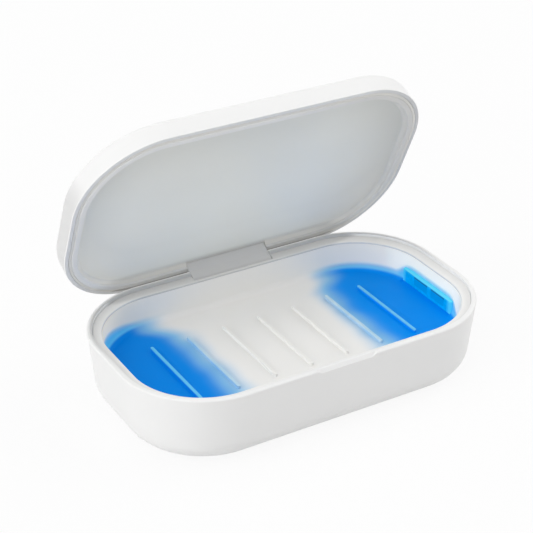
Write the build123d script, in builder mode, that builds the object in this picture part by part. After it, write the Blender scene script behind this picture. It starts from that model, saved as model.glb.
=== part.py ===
"""Ultraviolet sanitizer box for phones.

A rounded tub with a friction-hinged lid. The tub holds a tray whose two ends carry ultraviolet LED
modules behind clear caps, and below the tray a control board with a push button and a USB-C inlet.

Frame: millimetres, X along the box (right), Y to the back (the hinge side), Z up. The origin is the
centre of the anti-slip pad's lower face, on which the box stands. The lid is modelled open.
"""

import os
from math import acos, cos, degrees, radians, sin, sqrt, tan

from build123d import *

# ---------------------------------------------------------------- driving dimensions
# Overall form
body_length = 228.0
body_width = 135.0
corner_radius = 51.4
base_height = 44.9
base_draft = 5.8
base_edge_radius = 15.0
base_wall = 3.1
base_floor = 3.0
lip_edge_radius = 1.0
lid_height = 13.8
lid_edge_radius = 3.0
lid_rim_radius = 0.6
lid_wall = 2.4
lid_top_wall = 2.4
parting_gap = 0.5
seam = 0.2

# Anti-slip pad under the base
pad_thickness = 1.5
pad_proud = 0.8
pad_inset = 26.0
pad_edge_radius = 0.5

# Hinge
open_angle = 65.0
hinge_inset = 2.4
hinge_drop = 5.82
pin_radius = 0.8
pin_clearance = 0.05
barrel_radius = 2.0
drum_radius = 4.3
neck_depth = 1.2
leaf_width = 54.6
leaf_side_gap = 0.35
leaf_swing_gap = 0.4
ear_width = 4.0
ear_section_depth = 3.2
ear_section_drop = 3.4
drum_angle = 42.0
drum_rise = 3.6
pin_end_gap = 0.4
sleeve_length = 15.3
sleeve_wall = 0.4
flange_reach = 15.5
flange_thickness = 2.0
flange_lift = 6.8

# Rim frame (the ledge between the lip and the cavity)
ledge_step = 1.8
ledge_slope_drop = 1.4
ledge_inner_inset = 8.7
ledge_depth = 4.4
ledge_edge_radius = 0.6
pocket_strip = 1.4

# Tray
cavity_inset = 8.9
tray_wall = 1.8
tray_draft = 3.0
tray_depth = 22.4
tray_edge_radius = 4.0
rest_rib_height = 2.0
rest_rib_width = 1.8
rest_rib_length = 62.0
rest_rib_pitch = 24.0
rest_rib_count = 7

# Finger notch in the front of the lip
notch_top_width = 39.0
notch_bottom_width = 32.0
notch_height = 2.3
notch_depth = 1.7

# Lid liner and seal
liner_border_thickness = 2.8
liner_wall = 1.6
seal_outer_inset = 4.2
seal_seat_depth = 1.2
seal_proud = 0.3
seal_edge_radius = 0.7
recess_inset = 7.9
recess_depth = 3.4
recess_slope_run = 1.6
recess_edge_radius = 1.8
liner_post_radius = 3.0
liner_post_x = 36.0
liner_post_outer_x = 90.0
liner_post_y = 45.0
seal_fit = 0.05

# LED modules, one at each end of the cavity
window_width = 50.0
window_drop = 13.5
window_reach = 2.9
window_flange_reach = 1.2
window_wall = 0.9
window_edge_radius = 1.2
window_flange = 0.9
window_flange_thickness = 0.8
module_seat = 7.4
cup_width = 15.0
cup_height = 5.2
cup_gap = 2.5
cup_drop = 1.7
cup_shift = -3.0
cup_flare = 12.0
reflector_depth = 2.6
reflector_clearance = 0.15
led_board_thickness = 1.0
led_board_width = 45.0
led_size = 3.5
led_height = 1.0
led_pitch = 7.0
tail_width = 6.6
tail_length = 5.6

# Control board and what it carries
control_height = 16.8
board_thickness = 1.6
board_length = 51.4
board_width = 48.0
board_end_gap = 12.6
standoff_radius = 3.0
standoff_inset = 3.6
board_screw_radius = 1.0
board_screw_head_radius = 1.9
board_screw_head_height = 1.3
board_screw_length = 6.0
usb_offset = -9.0
usb_width = 8.94
usb_height = 3.26
usb_length = 7.4
usb_shell = 0.3
usb_recess = 1.3
usb_tongue_thickness = 0.7
usb_tongue_width = 6.7
usb_base_length = 1.6
usb_tongue_setback = 0.7
tongue_board_reach = 5.4
tongue_board_width = 12.0
inlet_clearance = 0.15
plug_relief = 1.6
plug_relief_depth = 0.8
connector_height = 2.2
connector_length = 3.2
connector_width = 5.6
sensor_connector_width = 4.0
chip_size = 7.0
chip_height = 1.0
inductor_size = 7.0
inductor_height = 3.5
capacitor_radius = 2.5
capacitor_height = 5.2
indicator_led_width = 0.8
cable_thickness = 0.3
cable_width = 5.0
cable_bend_radius = 0.9

# Power button
button_offset = 9.0
button_radius = 3.4
button_proud = 0.7
button_travel = 0.5
button_clearance = 0.15
button_stem_radius = 1.6
button_collar_radius = 4.3
button_collar_thickness = 0.7
button_collar_gap = 0.3
button_edge_radius = 0.5
ring_outer_radius = 4.7
ring_flange_radius = 5.2
ring_flange_thickness = 1.0
ring_proud = 0.25
ring_seat_depth = 8.1
switch_width = 5.6
switch_length = 3.8
plunger_radius = 1.1
plunger_proud = 1.6
plunger_inset = 1.2

# Closing magnets, lid sensor and their shelves
magnet_spacing = 19.0
magnet_length = 12.0
magnet_height = 2.0
sensor_length = 6.0
sensor_height = 1.6
sensor_corner_gap = 0.6
sensor_magnet_length = 4.0
shelf_thickness = 2.2
shelf_margin = 2.0

# Fasteners
tray_screw_end_gap = 42.0
tray_screw_y = 32.0
tray_boss_radius = 3.6
floor_boss_radius = 4.6
boss_joint_height = 14.0
tray_screw_radius = 1.5
tray_screw_head_radius = 2.8
tray_screw_head_height = 2.0
tray_screw_seat = 6.2
tray_screw_bite = 5.4
screw_clearance = 0.2
screw_tip_gap = 0.6
gusset_thickness = 1.8
gusset_height = 7.0
drive_radius = 0.9
drive_depth = 0.8
leaf_screw_radius = 1.2
leaf_screw_head_radius = 2.2
leaf_screw_head_height = 1.4
leaf_screw_bite = 2.0
leaf_post_radius = 2.8
leaf_screw_pitch = 18.0

# ---------------------------------------------------------------- derived places
base_bottom = pad_proud
rim_z = base_bottom + base_height
half_length = body_length / 2
half_width = body_width / 2
draft_slope = tan(radians(base_draft))
hinge_y = half_width - hinge_inset
hinge_z = rim_z - hinge_drop
slot_half = leaf_width / 2 + leaf_side_gap
ledge_bottom = rim_z - ledge_depth
ledge_outer_inset = base_wall + ledge_step * draft_slope + seam
tray_top = ledge_bottom
tray_floor = rim_z - tray_depth
tray_bottom = tray_floor - tray_wall
board_top = control_height - usb_height / 2
board_bottom = board_top - board_thickness
board_right_edge = half_length - board_end_gap
board_left_edge = board_right_edge - board_length
ring_seat = half_length - ring_seat_depth
pocket_inset = ledge_inner_inset - pocket_strip
lid_rise = hinge_drop + parting_gap
window_top = rim_z - window_drop
tray_screw_x = half_length - tray_screw_end_gap


def wall_inset(height):
    """Inset of the tub's drafted outer face from the rim outline, at a height."""
    return (rim_z - height) * draft_slope


def end_setback(y, inset):
    """How far the plan's rounded end falls back from its furthest point, at a distance y off the middle."""
    radius = corner_radius - inset
    return radius - sqrt(radius**2 - max(0.0, y - half_width + corner_radius) ** 2)


def outline(inset):
    """The body's plan outline, moved inwards: for use inside a sketch."""
    return RectangleRounded(body_length - 2 * inset, body_width - 2 * inset, corner_radius - inset)


def bowl_form(inset, draft, top, bottom, edge_radius):
    """Solid block of the body's plan, drafted inwards to a rounded bottom edge."""
    with BuildPart() as form:
        with BuildSketch(Plane.XY.offset(top)):
            outline(inset)
        extrude(amount=bottom - top, taper=draft)
        fillet(form.edges().group_by(Axis.Z)[0], edge_radius)
    return form.part


def finish(builder, name):
    """Label a finished piece with its node's name and write its STEP file."""
    builder.part.label = name
    export_step(builder.part, f"parts/{name}.step")


# The LED modules sit as far out as the tub's curved end wall lets their corners go
seat_x = half_length - end_setback(window_width / 2 + window_flange, base_wall) - module_seat
board_x = seat_x + window_flange_thickness
window_face_x = seat_x - window_reach - window_flange_reach

# The lid's own planes: its opening plane, and sections across the box for profiles that run along X.
lid_tilt = radians(open_angle)
lid_y = Vector(0, cos(lid_tilt), -sin(lid_tilt))
lid_z = Vector(0, sin(lid_tilt), cos(lid_tilt))
hinge_point = Vector(0, hinge_y, hinge_z)
lid_origin = hinge_point - lid_y * hinge_y + lid_z * lid_rise
lid_plane = Plane(origin=lid_origin, x_dir=(1, 0, 0), z_dir=lid_z)
leaf_section = Plane(origin=hinge_point, x_dir=lid_y, z_dir=(1, 0, 0))
hinge_section = Plane(origin=hinge_point, x_dir=(0, 1, 0), z_dir=(1, 0, 0))

os.makedirs("parts", exist_ok=True)

# ---------------------------------------------------------------- base shell
gusset_places = [(-20, -1), (20, -1), (-46, 1), (46, 1)]
shelf_top = ledge_bottom - magnet_height
shelf_reach = cavity_inset - tray_wall - 2 * cable_thickness
shelf_width = shelf_reach - base_wall - wall_inset(shelf_top)
magnet_width = shelf_width - seam
front_seat_y = -half_width + shelf_reach - shelf_width / 2
sensor_offset = half_length - corner_radius - sensor_length / 2 - sensor_corner_gap
magnet_offset = sensor_offset - magnet_spacing
front_shelves = [
    (-magnet_offset, magnet_length),
    (magnet_offset, magnet_length),
    (sensor_offset, sensor_length),
]
board_screw_spots = (board_length / 2 - standoff_inset, board_width / 2 - standoff_inset)
board_centre_x = board_right_edge - board_length / 2

with BuildPart() as notch_cutter:
    with BuildSketch(Plane.YZ):
        with BuildLine():
            Polyline(
                (-half_width - 1, rim_z + 1),
                (-half_width + notch_depth, rim_z + 1),
                (-half_width + notch_depth, rim_z),
                (-half_width - 1, rim_z - notch_height * (1 + 1 / notch_depth)),
                close=True,
            )
        make_face()
    extrude(amount=notch_top_width / 2, both=True)
    with BuildSketch(Plane.XZ.offset(half_width - 5)):
        with BuildLine():
            Polyline(
                (-notch_top_width / 2, rim_z + 1),
                (notch_top_width / 2, rim_z + 1),
                (notch_top_width / 2, rim_z),
                (notch_bottom_width / 2, rim_z - notch_height),
                (-notch_bottom_width / 2, rim_z - notch_height),
                (-notch_top_width / 2, rim_z),
                close=True,
            )
        make_face()
    extrude(amount=10, mode=Mode.INTERSECT)

with BuildPart() as base_shell:
    add(bowl_form(0, base_draft, rim_z, base_bottom, base_edge_radius))
    fillet(base_shell.edges().group_by(Axis.Z)[-1], lip_edge_radius)
    add(notch_cutter.part, mode=Mode.SUBTRACT)
    add(
        bowl_form(base_wall, base_draft, rim_z, base_bottom + base_floor, base_edge_radius - base_wall),
        mode=Mode.SUBTRACT,
    )
    # Brackets on the inner wall that carry the rim frame, at front and back
    for x, side in gusset_places:
        wall_y = side * (half_width - base_wall / 2 - wall_inset(ledge_bottom))
        tip_y = side * (half_width - ledge_inner_inset + 2 * seam + tray_wall)
        with BuildSketch(Plane.YZ.offset(x)):
            with BuildLine():
                Polyline(
                    (wall_y, ledge_bottom),
                    (tip_y, ledge_bottom),
                    (wall_y, ledge_bottom - gusset_height),
                    close=True,
                )
            make_face()
        extrude(amount=gusset_thickness / 2, both=True)
    # The same at both ends
    for side in (-1, 1):
        wall_x = side * (half_length - base_wall / 2 - wall_inset(ledge_bottom))
        tip_x = side * (half_length - ledge_inner_inset + 2 * seam + tray_wall)
        with BuildSketch(Plane.XZ):
            with BuildLine():
                Polyline(
                    (wall_x, ledge_bottom),
                    (tip_x, ledge_bottom),
                    (wall_x, ledge_bottom - gusset_height),
                    close=True,
                )
            make_face()
        extrude(amount=gusset_thickness / 2, both=True)
    # Shelves under the rim frame for the closing magnets and the lid sensor
    with BuildSketch(Plane.XY.offset(shelf_top)):
        for x, length in front_shelves:
            with Locations((x, front_seat_y - base_wall / 4)):
                Rectangle(length + 2 * shelf_margin, shelf_width + base_wall / 2)
    extrude(amount=-shelf_thickness)
    # Hinge slot through the lip and the back wall
    with BuildSketch(hinge_section):
        with Locations((0, (hinge_drop - barrel_radius - leaf_swing_gap) / 2)):
            Rectangle(2 * drum_radius + 4, hinge_drop + barrel_radius + leaf_swing_gap)
    extrude(amount=slot_half, both=True, mode=Mode.SUBTRACT)
    # Ears at both ends of the slot that hold the hinge pin
    for side in (-1, 1):
        with BuildSketch(hinge_section.offset(side * slot_half)):
            ear_height = ear_section_drop + hinge_drop - ledge_depth - seam / 2
            with Locations((-ear_section_depth / 2, ear_height / 2 - ear_section_drop)):
                Rectangle(ear_section_depth, ear_height)
        extrude(amount=side * ear_width)
    with BuildSketch(hinge_section):
        Circle(pin_radius)
    extrude(amount=slot_half + ear_width, both=True, mode=Mode.SUBTRACT)
    # Floor bosses for the tray screws
    with BuildSketch(Plane.XY.offset(base_bottom + base_floor / 2)):
        with GridLocations(2 * tray_screw_x, 2 * tray_screw_y, 2, 2):
            Circle(floor_boss_radius)
    extrude(amount=boss_joint_height - base_bottom - base_floor / 2)
    # Standoffs for the control board
    with BuildSketch(Plane.XY.offset(base_bottom + base_floor / 2)):
        with Locations((board_centre_x, 0)):
            with GridLocations(2 * board_screw_spots[0], 2 * board_screw_spots[1], 2, 2):
                Circle(standoff_radius)
    extrude(amount=board_bottom - base_bottom - base_floor / 2)
    with Locations(Plane.XY.offset(board_bottom)):
        with Locations((board_centre_x, 0)):
            with GridLocations(2 * board_screw_spots[0], 2 * board_screw_spots[1], 2, 2):
                Hole(board_screw_radius, board_screw_length - board_thickness + screw_tip_gap)
    # Seat of the indicator ring on the inside of the right end wall
    with BuildSketch(Plane.YZ.offset(ring_seat)):
        with Locations((button_offset, control_height)):
            Circle(ring_flange_radius)
    extrude(amount=half_length - base_wall / 2 - wall_inset(control_height) - ring_seat)
    with BuildSketch(Plane.YZ.offset(ring_seat)):
        with Locations((button_offset, control_height)):
            Circle(ring_outer_radius)
    extrude(amount=half_length - ring_seat, mode=Mode.SUBTRACT)
    # Inlet for the plug, with a shallow relief for its moulded collar
    inlet_face = half_length - wall_inset(control_height)
    with BuildSketch(Plane.YZ.offset(inlet_face - base_wall - usb_recess - 1)):
        with Locations((usb_offset, control_height)):
            SlotOverall(usb_width + 2 * inlet_clearance, usb_height + 2 * inlet_clearance)
    extrude(amount=half_length - inlet_face + base_wall + usb_recess + 1, mode=Mode.SUBTRACT)
    with BuildSketch(Plane.YZ.offset(inlet_face - plug_relief_depth)):
        with Locations((usb_offset, control_height)):
            SlotOverall(usb_width + 2 * plug_relief, usb_height + 2 * plug_relief)
    extrude(amount=half_length, mode=Mode.SUBTRACT)
    # Pad recess and the screws' counterbores under it
    with BuildSketch(Plane.XY.offset(base_bottom)):
        outline(pad_inset - seam)
    extrude(amount=pad_thickness - pad_proud, mode=Mode.SUBTRACT)
    with Locations(Plane.XY.offset(base_bottom).rotated((180, 0, 0))):
        with GridLocations(2 * tray_screw_x, 2 * tray_screw_y, 2, 2):
            CounterBoreHole(
                tray_screw_radius + screw_clearance,
                tray_screw_head_radius + screw_clearance,
                tray_screw_seat - base_bottom,
                boss_joint_height - base_bottom,
            )
finish(base_shell, "base_shell")

# ---------------------------------------------------------------- anti-slip pad
with BuildPart() as base_pad:
    with BuildSketch():
        outline(pad_inset)
    extrude(amount=pad_thickness)
    fillet(base_pad.edges().group_by(Axis.Z)[0], pad_edge_radius)
finish(base_pad, "base_pad")

# ---------------------------------------------------------------- rim frame
ledge_low = rim_z - ledge_step - ledge_slope_drop
with BuildPart() as rim_frame:
    with BuildSketch(Plane.XY.offset(rim_z - ledge_step)):
        outline(ledge_outer_inset)
    extrude(amount=ledge_step - ledge_depth, taper=base_draft)
    with BuildSketch(Plane.XY.offset(ledge_bottom)):
        outline(ledge_inner_inset)
    extrude(amount=ledge_depth, mode=Mode.SUBTRACT)
    # The upper face dips from the lip towards the cavity
    with BuildSketch(Plane.XY.offset(ledge_low)):
        outline(ledge_inner_inset)
    with BuildSketch(Plane.XY.offset(rim_z - ledge_step)):
        outline(ledge_outer_inset)
    loft(ruled=True, mode=Mode.SUBTRACT)
    inner_edges = rim_frame.edges().filter_by_position(Axis.Z, ledge_low - 0.01, ledge_low + 0.01)
    fillet(inner_edges, ledge_edge_radius)
    # Pocket in which the hinge leaf swings
    with BuildSketch(Plane.XY.offset(ledge_bottom)):
        with Locations((0, half_width - pocket_inset / 2)):
            Rectangle(2 * slot_half, pocket_inset)
    extrude(amount=ledge_depth, mode=Mode.SUBTRACT)
finish(rim_frame, "rim_frame")

# ---------------------------------------------------------------- tray
window_height = window_top - tray_floor
window_z = tray_floor + window_height / 2
seat_height = window_height + 2 * window_flange

with BuildPart() as inner_tray:
    add(
        bowl_form(
            cavity_inset - tray_wall,
            tray_draft,
            tray_top,
            tray_bottom,
            tray_edge_radius + tray_wall,
        )
    )
    # Flat outer faces at both ends for the LED modules to seat on
    for side in (-1, 1):
        with BuildSketch(Plane.YZ.offset(side * (seat_x - 6))):
            with Locations((0, window_z + window_flange / 2)):
                Rectangle(window_width + 2 * window_flange + 2, window_height + window_flange + 2)
        extrude(amount=side * 6)
        with BuildSketch(Plane.YZ.offset(side * seat_x)):
            with Locations((0, window_z)):
                Rectangle(body_width, seat_height)
        extrude(amount=side * module_seat, mode=Mode.SUBTRACT)
    add(bowl_form(cavity_inset, tray_draft, tray_top, tray_floor, tray_edge_radius), mode=Mode.SUBTRACT)
    # Window openings through the end walls
    for side in (-1, 1):
        with BuildSketch(Plane.YZ.offset(side * (window_face_x - 2))):
            with Locations((0, window_z)):
                Rectangle(window_width + 2 * seam, window_height + 2 * seam)
        extrude(amount=side * 12, mode=Mode.SUBTRACT)
    # Low ribs that lift the phone off the floor
    with BuildSketch(Plane.XY.offset(tray_floor)):
        with GridLocations(rest_rib_pitch, 0, rest_rib_count, 1):
            SlotOverall(rest_rib_length, rest_rib_width, rotation=90)
    extrude(amount=rest_rib_height)
    # Screw bosses that meet the ones on the base's floor
    with BuildSketch(Plane.XY.offset(tray_bottom)):
        with GridLocations(2 * tray_screw_x, 2 * tray_screw_y, 2, 2):
            Circle(tray_boss_radius)
    extrude(amount=boss_joint_height - tray_bottom)
    with Locations(Plane.XY.offset(boss_joint_height).rotated((180, 0, 0))):
        with GridLocations(2 * tray_screw_x, 2 * tray_screw_y, 2, 2):
            Hole(tray_screw_radius, tray_screw_bite + screw_tip_gap)
finish(inner_tray, "inner_tray")

# ---------------------------------------------------------------- LED modules
reflector_width = window_width - 2 * (window_wall + reflector_clearance)
reflector_height = window_height - 2 * (window_wall + reflector_clearance)
cup_z = window_top - cup_drop - cup_height / 2
cup_pitch = cup_width + cup_gap
tail_bottom = tray_floor - window_flange - tail_length
tail_connector_z = tail_bottom + connector_length / 2 + (tail_length - connector_length) / 4

for side, name in ((-1, "left"), (1, "right")):
    # Clear cap: a rounded box open at the back, with a flange that seats on the tray's flat outer face
    with BuildPart() as led_window:
        with BuildSketch(Plane.YZ.offset(side * seat_x)):
            with Locations((0, window_z)):
                Rectangle(window_width, window_height)
        extrude(amount=side * (window_face_x - seat_x))
        outward = Axis((0, 0, 0), (side, 0, 0))
        fillet(led_window.edges().group_by(outward)[0], window_edge_radius)
        with BuildSketch(Plane.YZ.offset(side * seat_x)):
            with Locations((0, window_z)):
                Rectangle(window_width + 2 * window_flange, seat_height)
        extrude(amount=side * window_flange_thickness)
        with BuildSketch(Plane.YZ.offset(side * board_x)):
            with Locations((0, window_z)):
                Rectangle(window_width - 2 * window_wall, window_height - 2 * window_wall)
        extrude(amount=side * (window_face_x + window_wall - board_x), mode=Mode.SUBTRACT)
    finish(led_window, f"led_window_{name}")

    with BuildPart() as led_reflector:
        with BuildSketch(Plane.YZ.offset(side * board_x)):
            with Locations((0, window_z)):
                Rectangle(reflector_width, reflector_height)
        extrude(amount=-side * reflector_depth)
        with BuildSketch(Plane.YZ.offset(side * (board_x - reflector_depth))):
            with Locations((cup_shift, cup_z)):
                with GridLocations(cup_pitch, 0, 2, 1):
                    Rectangle(cup_width, cup_height)
        extrude(amount=side * reflector_depth, taper=cup_flare, mode=Mode.SUBTRACT)
    finish(led_reflector, f"led_reflector_{name}")

    with BuildPart() as led_board:
        with BuildSketch(Plane.YZ.offset(side * board_x)):
            with Locations((0, window_z)):
                Rectangle(led_board_width, seat_height)
            with Locations((0, tail_bottom + tail_length / 2)):
                Rectangle(tail_width, tail_length)
        extrude(amount=side * led_board_thickness)
    finish(led_board, f"led_board_{name}")

    with BuildPart() as uv_leds:
        with BuildSketch(Plane.YZ.offset(side * board_x)):
            for cup_y in (-cup_pitch / 2, cup_pitch / 2):
                with Locations((cup_shift + cup_y, cup_z)):
                    with GridLocations(led_pitch, 0, 2, 1):
                        Rectangle(led_size, led_size)
        extrude(amount=-side * led_height)
    finish(uv_leds, f"uv_leds_{name}")

# ---------------------------------------------------------------- control board
with BuildPart() as main_board:
    with BuildSketch(Plane.XY.offset(board_bottom)):
        with Locations((board_centre_x, 0)):
            Rectangle(board_length, board_width)
            with GridLocations(2 * board_screw_spots[0], 2 * board_screw_spots[1], 2, 2):
                Circle(board_screw_radius + seam / 2, mode=Mode.SUBTRACT)
        with Locations((board_right_edge, usb_offset)):
            Rectangle(2 * tongue_board_reach, tongue_board_width)
    extrude(amount=board_thickness)
finish(main_board, "main_board")

with BuildPart() as board_screws:
    with BuildSketch(Plane.XY.offset(board_top)):
        with Locations((board_centre_x, 0)):
            with GridLocations(2 * board_screw_spots[0], 2 * board_screw_spots[1], 2, 2):
                Circle(board_screw_head_radius)
    extrude(amount=board_screw_head_height)
    fillet(board_screws.edges().group_by(Axis.Z)[-1], board_screw_head_height / 3)
    with BuildSketch(Plane.XY.offset(board_top)):
        with Locations((board_centre_x, 0)):
            with GridLocations(2 * board_screw_spots[0], 2 * board_screw_spots[1], 2, 2):
                Circle(board_screw_radius)
    extrude(amount=-board_screw_length)
    with BuildSketch(Plane.XY.offset(board_top + board_screw_head_height)):
        with Locations((board_centre_x, 0)):
            with GridLocations(2 * board_screw_spots[0], 2 * board_screw_spots[1], 2, 2):
                RegularPolygon(drive_radius, 6)
    extrude(amount=-drive_depth, mode=Mode.SUBTRACT)
finish(board_screws, "board_screws")

with BuildPart() as controller_chip:
    with BuildSketch(Plane.XY.offset(board_top)):
        with Locations((board_centre_x - 2, 11)):
            Rectangle(chip_size, chip_size)
    extrude(amount=chip_height)
    chamfer(controller_chip.edges().group_by(Axis.Z)[-1], chip_height / 5)
finish(controller_chip, "controller_chip")

with BuildPart() as boost_inductor:
    with BuildSketch(Plane.XY.offset(board_top)):
        with Locations((board_centre_x - 5, -10)):
            RectangleRounded(inductor_size, inductor_size, inductor_size / 6)
    extrude(amount=inductor_height)
finish(boost_inductor, "boost_inductor")

with BuildPart() as capacitors:
    with BuildSketch(Plane.XY.offset(board_top)):
        with Locations((board_centre_x + 7, -10)):
            with GridLocations(0, 2 * capacitor_radius + 1, 1, 2):
                Circle(capacitor_radius)
    extrude(amount=capacitor_height)
    fillet(capacitors.edges().group_by(Axis.Z)[-1], capacitor_radius / 5)
finish(capacitors, "capacitors")

left_connector_x = board_left_edge + 1.2 + connector_length / 2
right_connector_x = board_right_edge - 1.2 - connector_length / 2
sensor_connector_y = -board_width / 2 + 1.6 + connector_length / 2
with BuildPart() as cable_connectors:
    with BuildSketch(Plane.XY.offset(board_top)):
        with Locations((left_connector_x, 0), (right_connector_x, 0)):
            Rectangle(connector_length, connector_width)
        with Locations((sensor_offset, sensor_connector_y)):
            Rectangle(sensor_connector_width, connector_length)
    extrude(amount=connector_height)
    for side in (-1, 1):
        with BuildSketch(Plane.YZ.offset(side * board_x)):
            with Locations((0, tail_connector_z)):
                Rectangle(connector_width, connector_length)
        extrude(amount=-side * connector_height)
finish(cable_connectors, "cable_connectors")

with BuildPart() as usb_socket:
    with BuildSketch(Plane.YZ.offset(inlet_face - usb_recess - usb_length)):
        with Locations((usb_offset, control_height)):
            SlotOverall(usb_width, usb_height)
    extrude(amount=usb_length)
    with BuildSketch(Plane.YZ.offset(inlet_face - usb_recess - usb_length)):
        with Locations((usb_offset, control_height)):
            SlotOverall(usb_width - 2 * usb_shell, usb_height - 2 * usb_shell)
    extrude(amount=usb_length, mode=Mode.SUBTRACT)
finish(usb_socket, "usb_socket")

with BuildPart() as usb_tongue:
    with BuildSketch(Plane.YZ.offset(inlet_face - usb_recess - usb_length)):
        with Locations((usb_offset, control_height)):
            SlotOverall(usb_width - 2 * usb_shell, usb_height - 2 * usb_shell)
    extrude(amount=usb_base_length)
    with BuildSketch(Plane.YZ.offset(inlet_face - usb_recess - usb_length)):
        with Locations((usb_offset, control_height)):
            Rectangle(usb_tongue_width, usb_tongue_thickness)
    extrude(amount=usb_length - usb_tongue_setback)
finish(usb_tongue, "usb_tongue")

with BuildPart() as indicator_led:
    with BuildSketch(Plane.XY.offset(board_top)):
        with Locations((board_right_edge - 1.5, button_offset + ring_flange_radius)):
            Rectangle(indicator_led_width, 2 * indicator_led_width)
    extrude(amount=indicator_led_width)
finish(indicator_led, "indicator_led")

# ---------------------------------------------------------------- power button
stem_end_x = board_right_edge + plunger_proud
cap_face_x = inlet_face + button_proud
collar_x = ring_seat - ring_flange_thickness - button_collar_gap
with BuildPart() as power_button:
    with BuildSketch(Plane.YZ.offset(stem_end_x)):
        with Locations((button_offset, control_height)):
            Circle(button_stem_radius)
    extrude(amount=cap_face_x - stem_end_x)
    with BuildSketch(Plane.YZ.offset(collar_x)):
        with Locations((button_offset, control_height)):
            Circle(button_collar_radius)
    extrude(amount=-button_collar_thickness)
    with BuildSketch(Plane.YZ.offset(collar_x - button_collar_thickness / 2)):
        with Locations((button_offset, control_height)):
            Circle(button_radius)
    extrude(amount=cap_face_x - collar_x + button_collar_thickness / 2)
    fillet(power_button.edges().group_by(Axis.X)[-1], button_edge_radius)
finish(power_button, "power_button")

with BuildPart() as indicator_ring:
    with BuildSketch(Plane.YZ.offset(ring_seat)):
        with Locations((button_offset, control_height)):
            Circle(ring_flange_radius)
    extrude(amount=-ring_flange_thickness)
    with BuildSketch(Plane.YZ.offset(ring_seat)):
        with Locations((button_offset, control_height)):
            Circle(ring_outer_radius)
    extrude(amount=inlet_face + ring_proud - ring_seat)
    with BuildSketch(Plane.YZ.offset(ring_seat - ring_flange_thickness)):
        with Locations((button_offset, control_height)):
            Circle(button_radius + button_clearance)
    extrude(amount=half_length - ring_seat, mode=Mode.SUBTRACT)
finish(indicator_ring, "indicator_ring")

with BuildPart() as tact_switch:
    with BuildSketch(Plane.YZ.offset(board_right_edge)):
        with Locations((button_offset, control_height)):
            Rectangle(switch_width, usb_height)
    extrude(amount=-switch_length)
    with BuildSketch(Plane.YZ.offset(board_right_edge)):
        with Locations((button_offset, control_height)):
            Circle(plunger_radius + pin_clearance)
    extrude(amount=-plunger_inset - button_travel - seam, mode=Mode.SUBTRACT)
finish(tact_switch, "tact_switch")

with BuildPart() as switch_plunger:
    with BuildSketch(Plane.YZ.offset(board_right_edge - plunger_inset)):
        with Locations((button_offset, control_height)):
            Circle(plunger_radius)
    extrude(amount=plunger_inset + plunger_proud)
finish(switch_plunger, "switch_plunger")

# ---------------------------------------------------------------- flat cables
def flat_cable(plane, points, width):
    """Ribbon of the cable's thickness that follows the points, centred on the plane."""
    with BuildPart() as cable:
        with BuildSketch(plane):
            with BuildLine():
                FilletPolyline(*points, radius=cable_bend_radius)
            trace(line_width=cable_thickness)
        extrude(amount=width / 2, both=True)
    return cable


board_plug_z = board_top + connector_height / 2
tail_plug_x = board_x - connector_height
right_plug_x = right_connector_x + connector_length / 2
left_plug_x = left_connector_x - connector_length / 2
riser_x = (right_plug_x + tail_plug_x) / 2
led_cable_right = flat_cable(
    Plane.XZ,
    [
        (right_plug_x, board_plug_z),
        (riser_x, board_plug_z),
        (riser_x, tail_connector_z),
        (tail_plug_x, tail_connector_z),
    ],
    cable_width,
)
finish(led_cable_right, "led_cable_right")

# The left module's cable is stuck along the underside of the tray
under_tray_z = tray_bottom - cable_thickness / 2
led_cable_left = flat_cable(
    Plane.XZ,
    [
        (left_plug_x, board_plug_z),
        (left_plug_x - 2 * cable_bend_radius, board_plug_z),
        (left_plug_x - 2 * cable_bend_radius, under_tray_z),
        (-riser_x, under_tray_z),
        (-riser_x, tail_connector_z),
        (-tail_plug_x, tail_connector_z),
    ],
    cable_width,
)
finish(led_cable_left, "led_cable_left")

# The sensor's cable starts on its inner face and hangs down past the shelf's edge
sensor_drop_y = -half_width + shelf_reach + cable_thickness / 2
sensor_cable = flat_cable(
    Plane.YZ.offset(sensor_offset),
    [
        (sensor_drop_y, shelf_top + sensor_height),
        (sensor_drop_y, board_plug_z),
        (sensor_connector_y - connector_length / 2, board_plug_z),
    ],
    sensor_connector_width,
)
finish(sensor_cable, "sensor_cable")

# ---------------------------------------------------------------- closing magnets and lid sensor
with BuildPart() as base_magnets:
    with BuildSketch(Plane.XY.offset(shelf_top)):
        for x in (-magnet_offset, magnet_offset):
            with Locations((x, front_seat_y)):
                Rectangle(magnet_length, magnet_width)
    extrude(amount=magnet_height)
finish(base_magnets, "base_magnets")

with BuildPart() as lid_sensor:
    with BuildSketch(Plane.XY.offset(shelf_top)):
        with Locations((sensor_offset, front_seat_y + seam / 2)):
            Rectangle(sensor_length, magnet_width)
    extrude(amount=sensor_height)
finish(lid_sensor, "lid_sensor")

liner_back = recess_depth + liner_wall
liner_ring_inset = recess_inset - liner_wall
lid_magnet_y = -half_width + (lid_wall + seam + liner_ring_inset) / 2
with BuildPart() as lid_magnets:
    with BuildSketch(lid_plane.offset(liner_border_thickness)):
        for x in (-magnet_offset, magnet_offset):
            with Locations((x, lid_magnet_y)):
                Rectangle(magnet_length, magnet_width)
    extrude(amount=magnet_height)
finish(lid_magnets, "lid_magnets")

with BuildPart() as sensor_magnet:
    with BuildSketch(lid_plane.offset(liner_border_thickness)):
        with Locations((sensor_offset, lid_magnet_y)):
            Rectangle(sensor_magnet_length, magnet_width)
    extrude(amount=magnet_height)
finish(sensor_magnet, "sensor_magnet")

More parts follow.
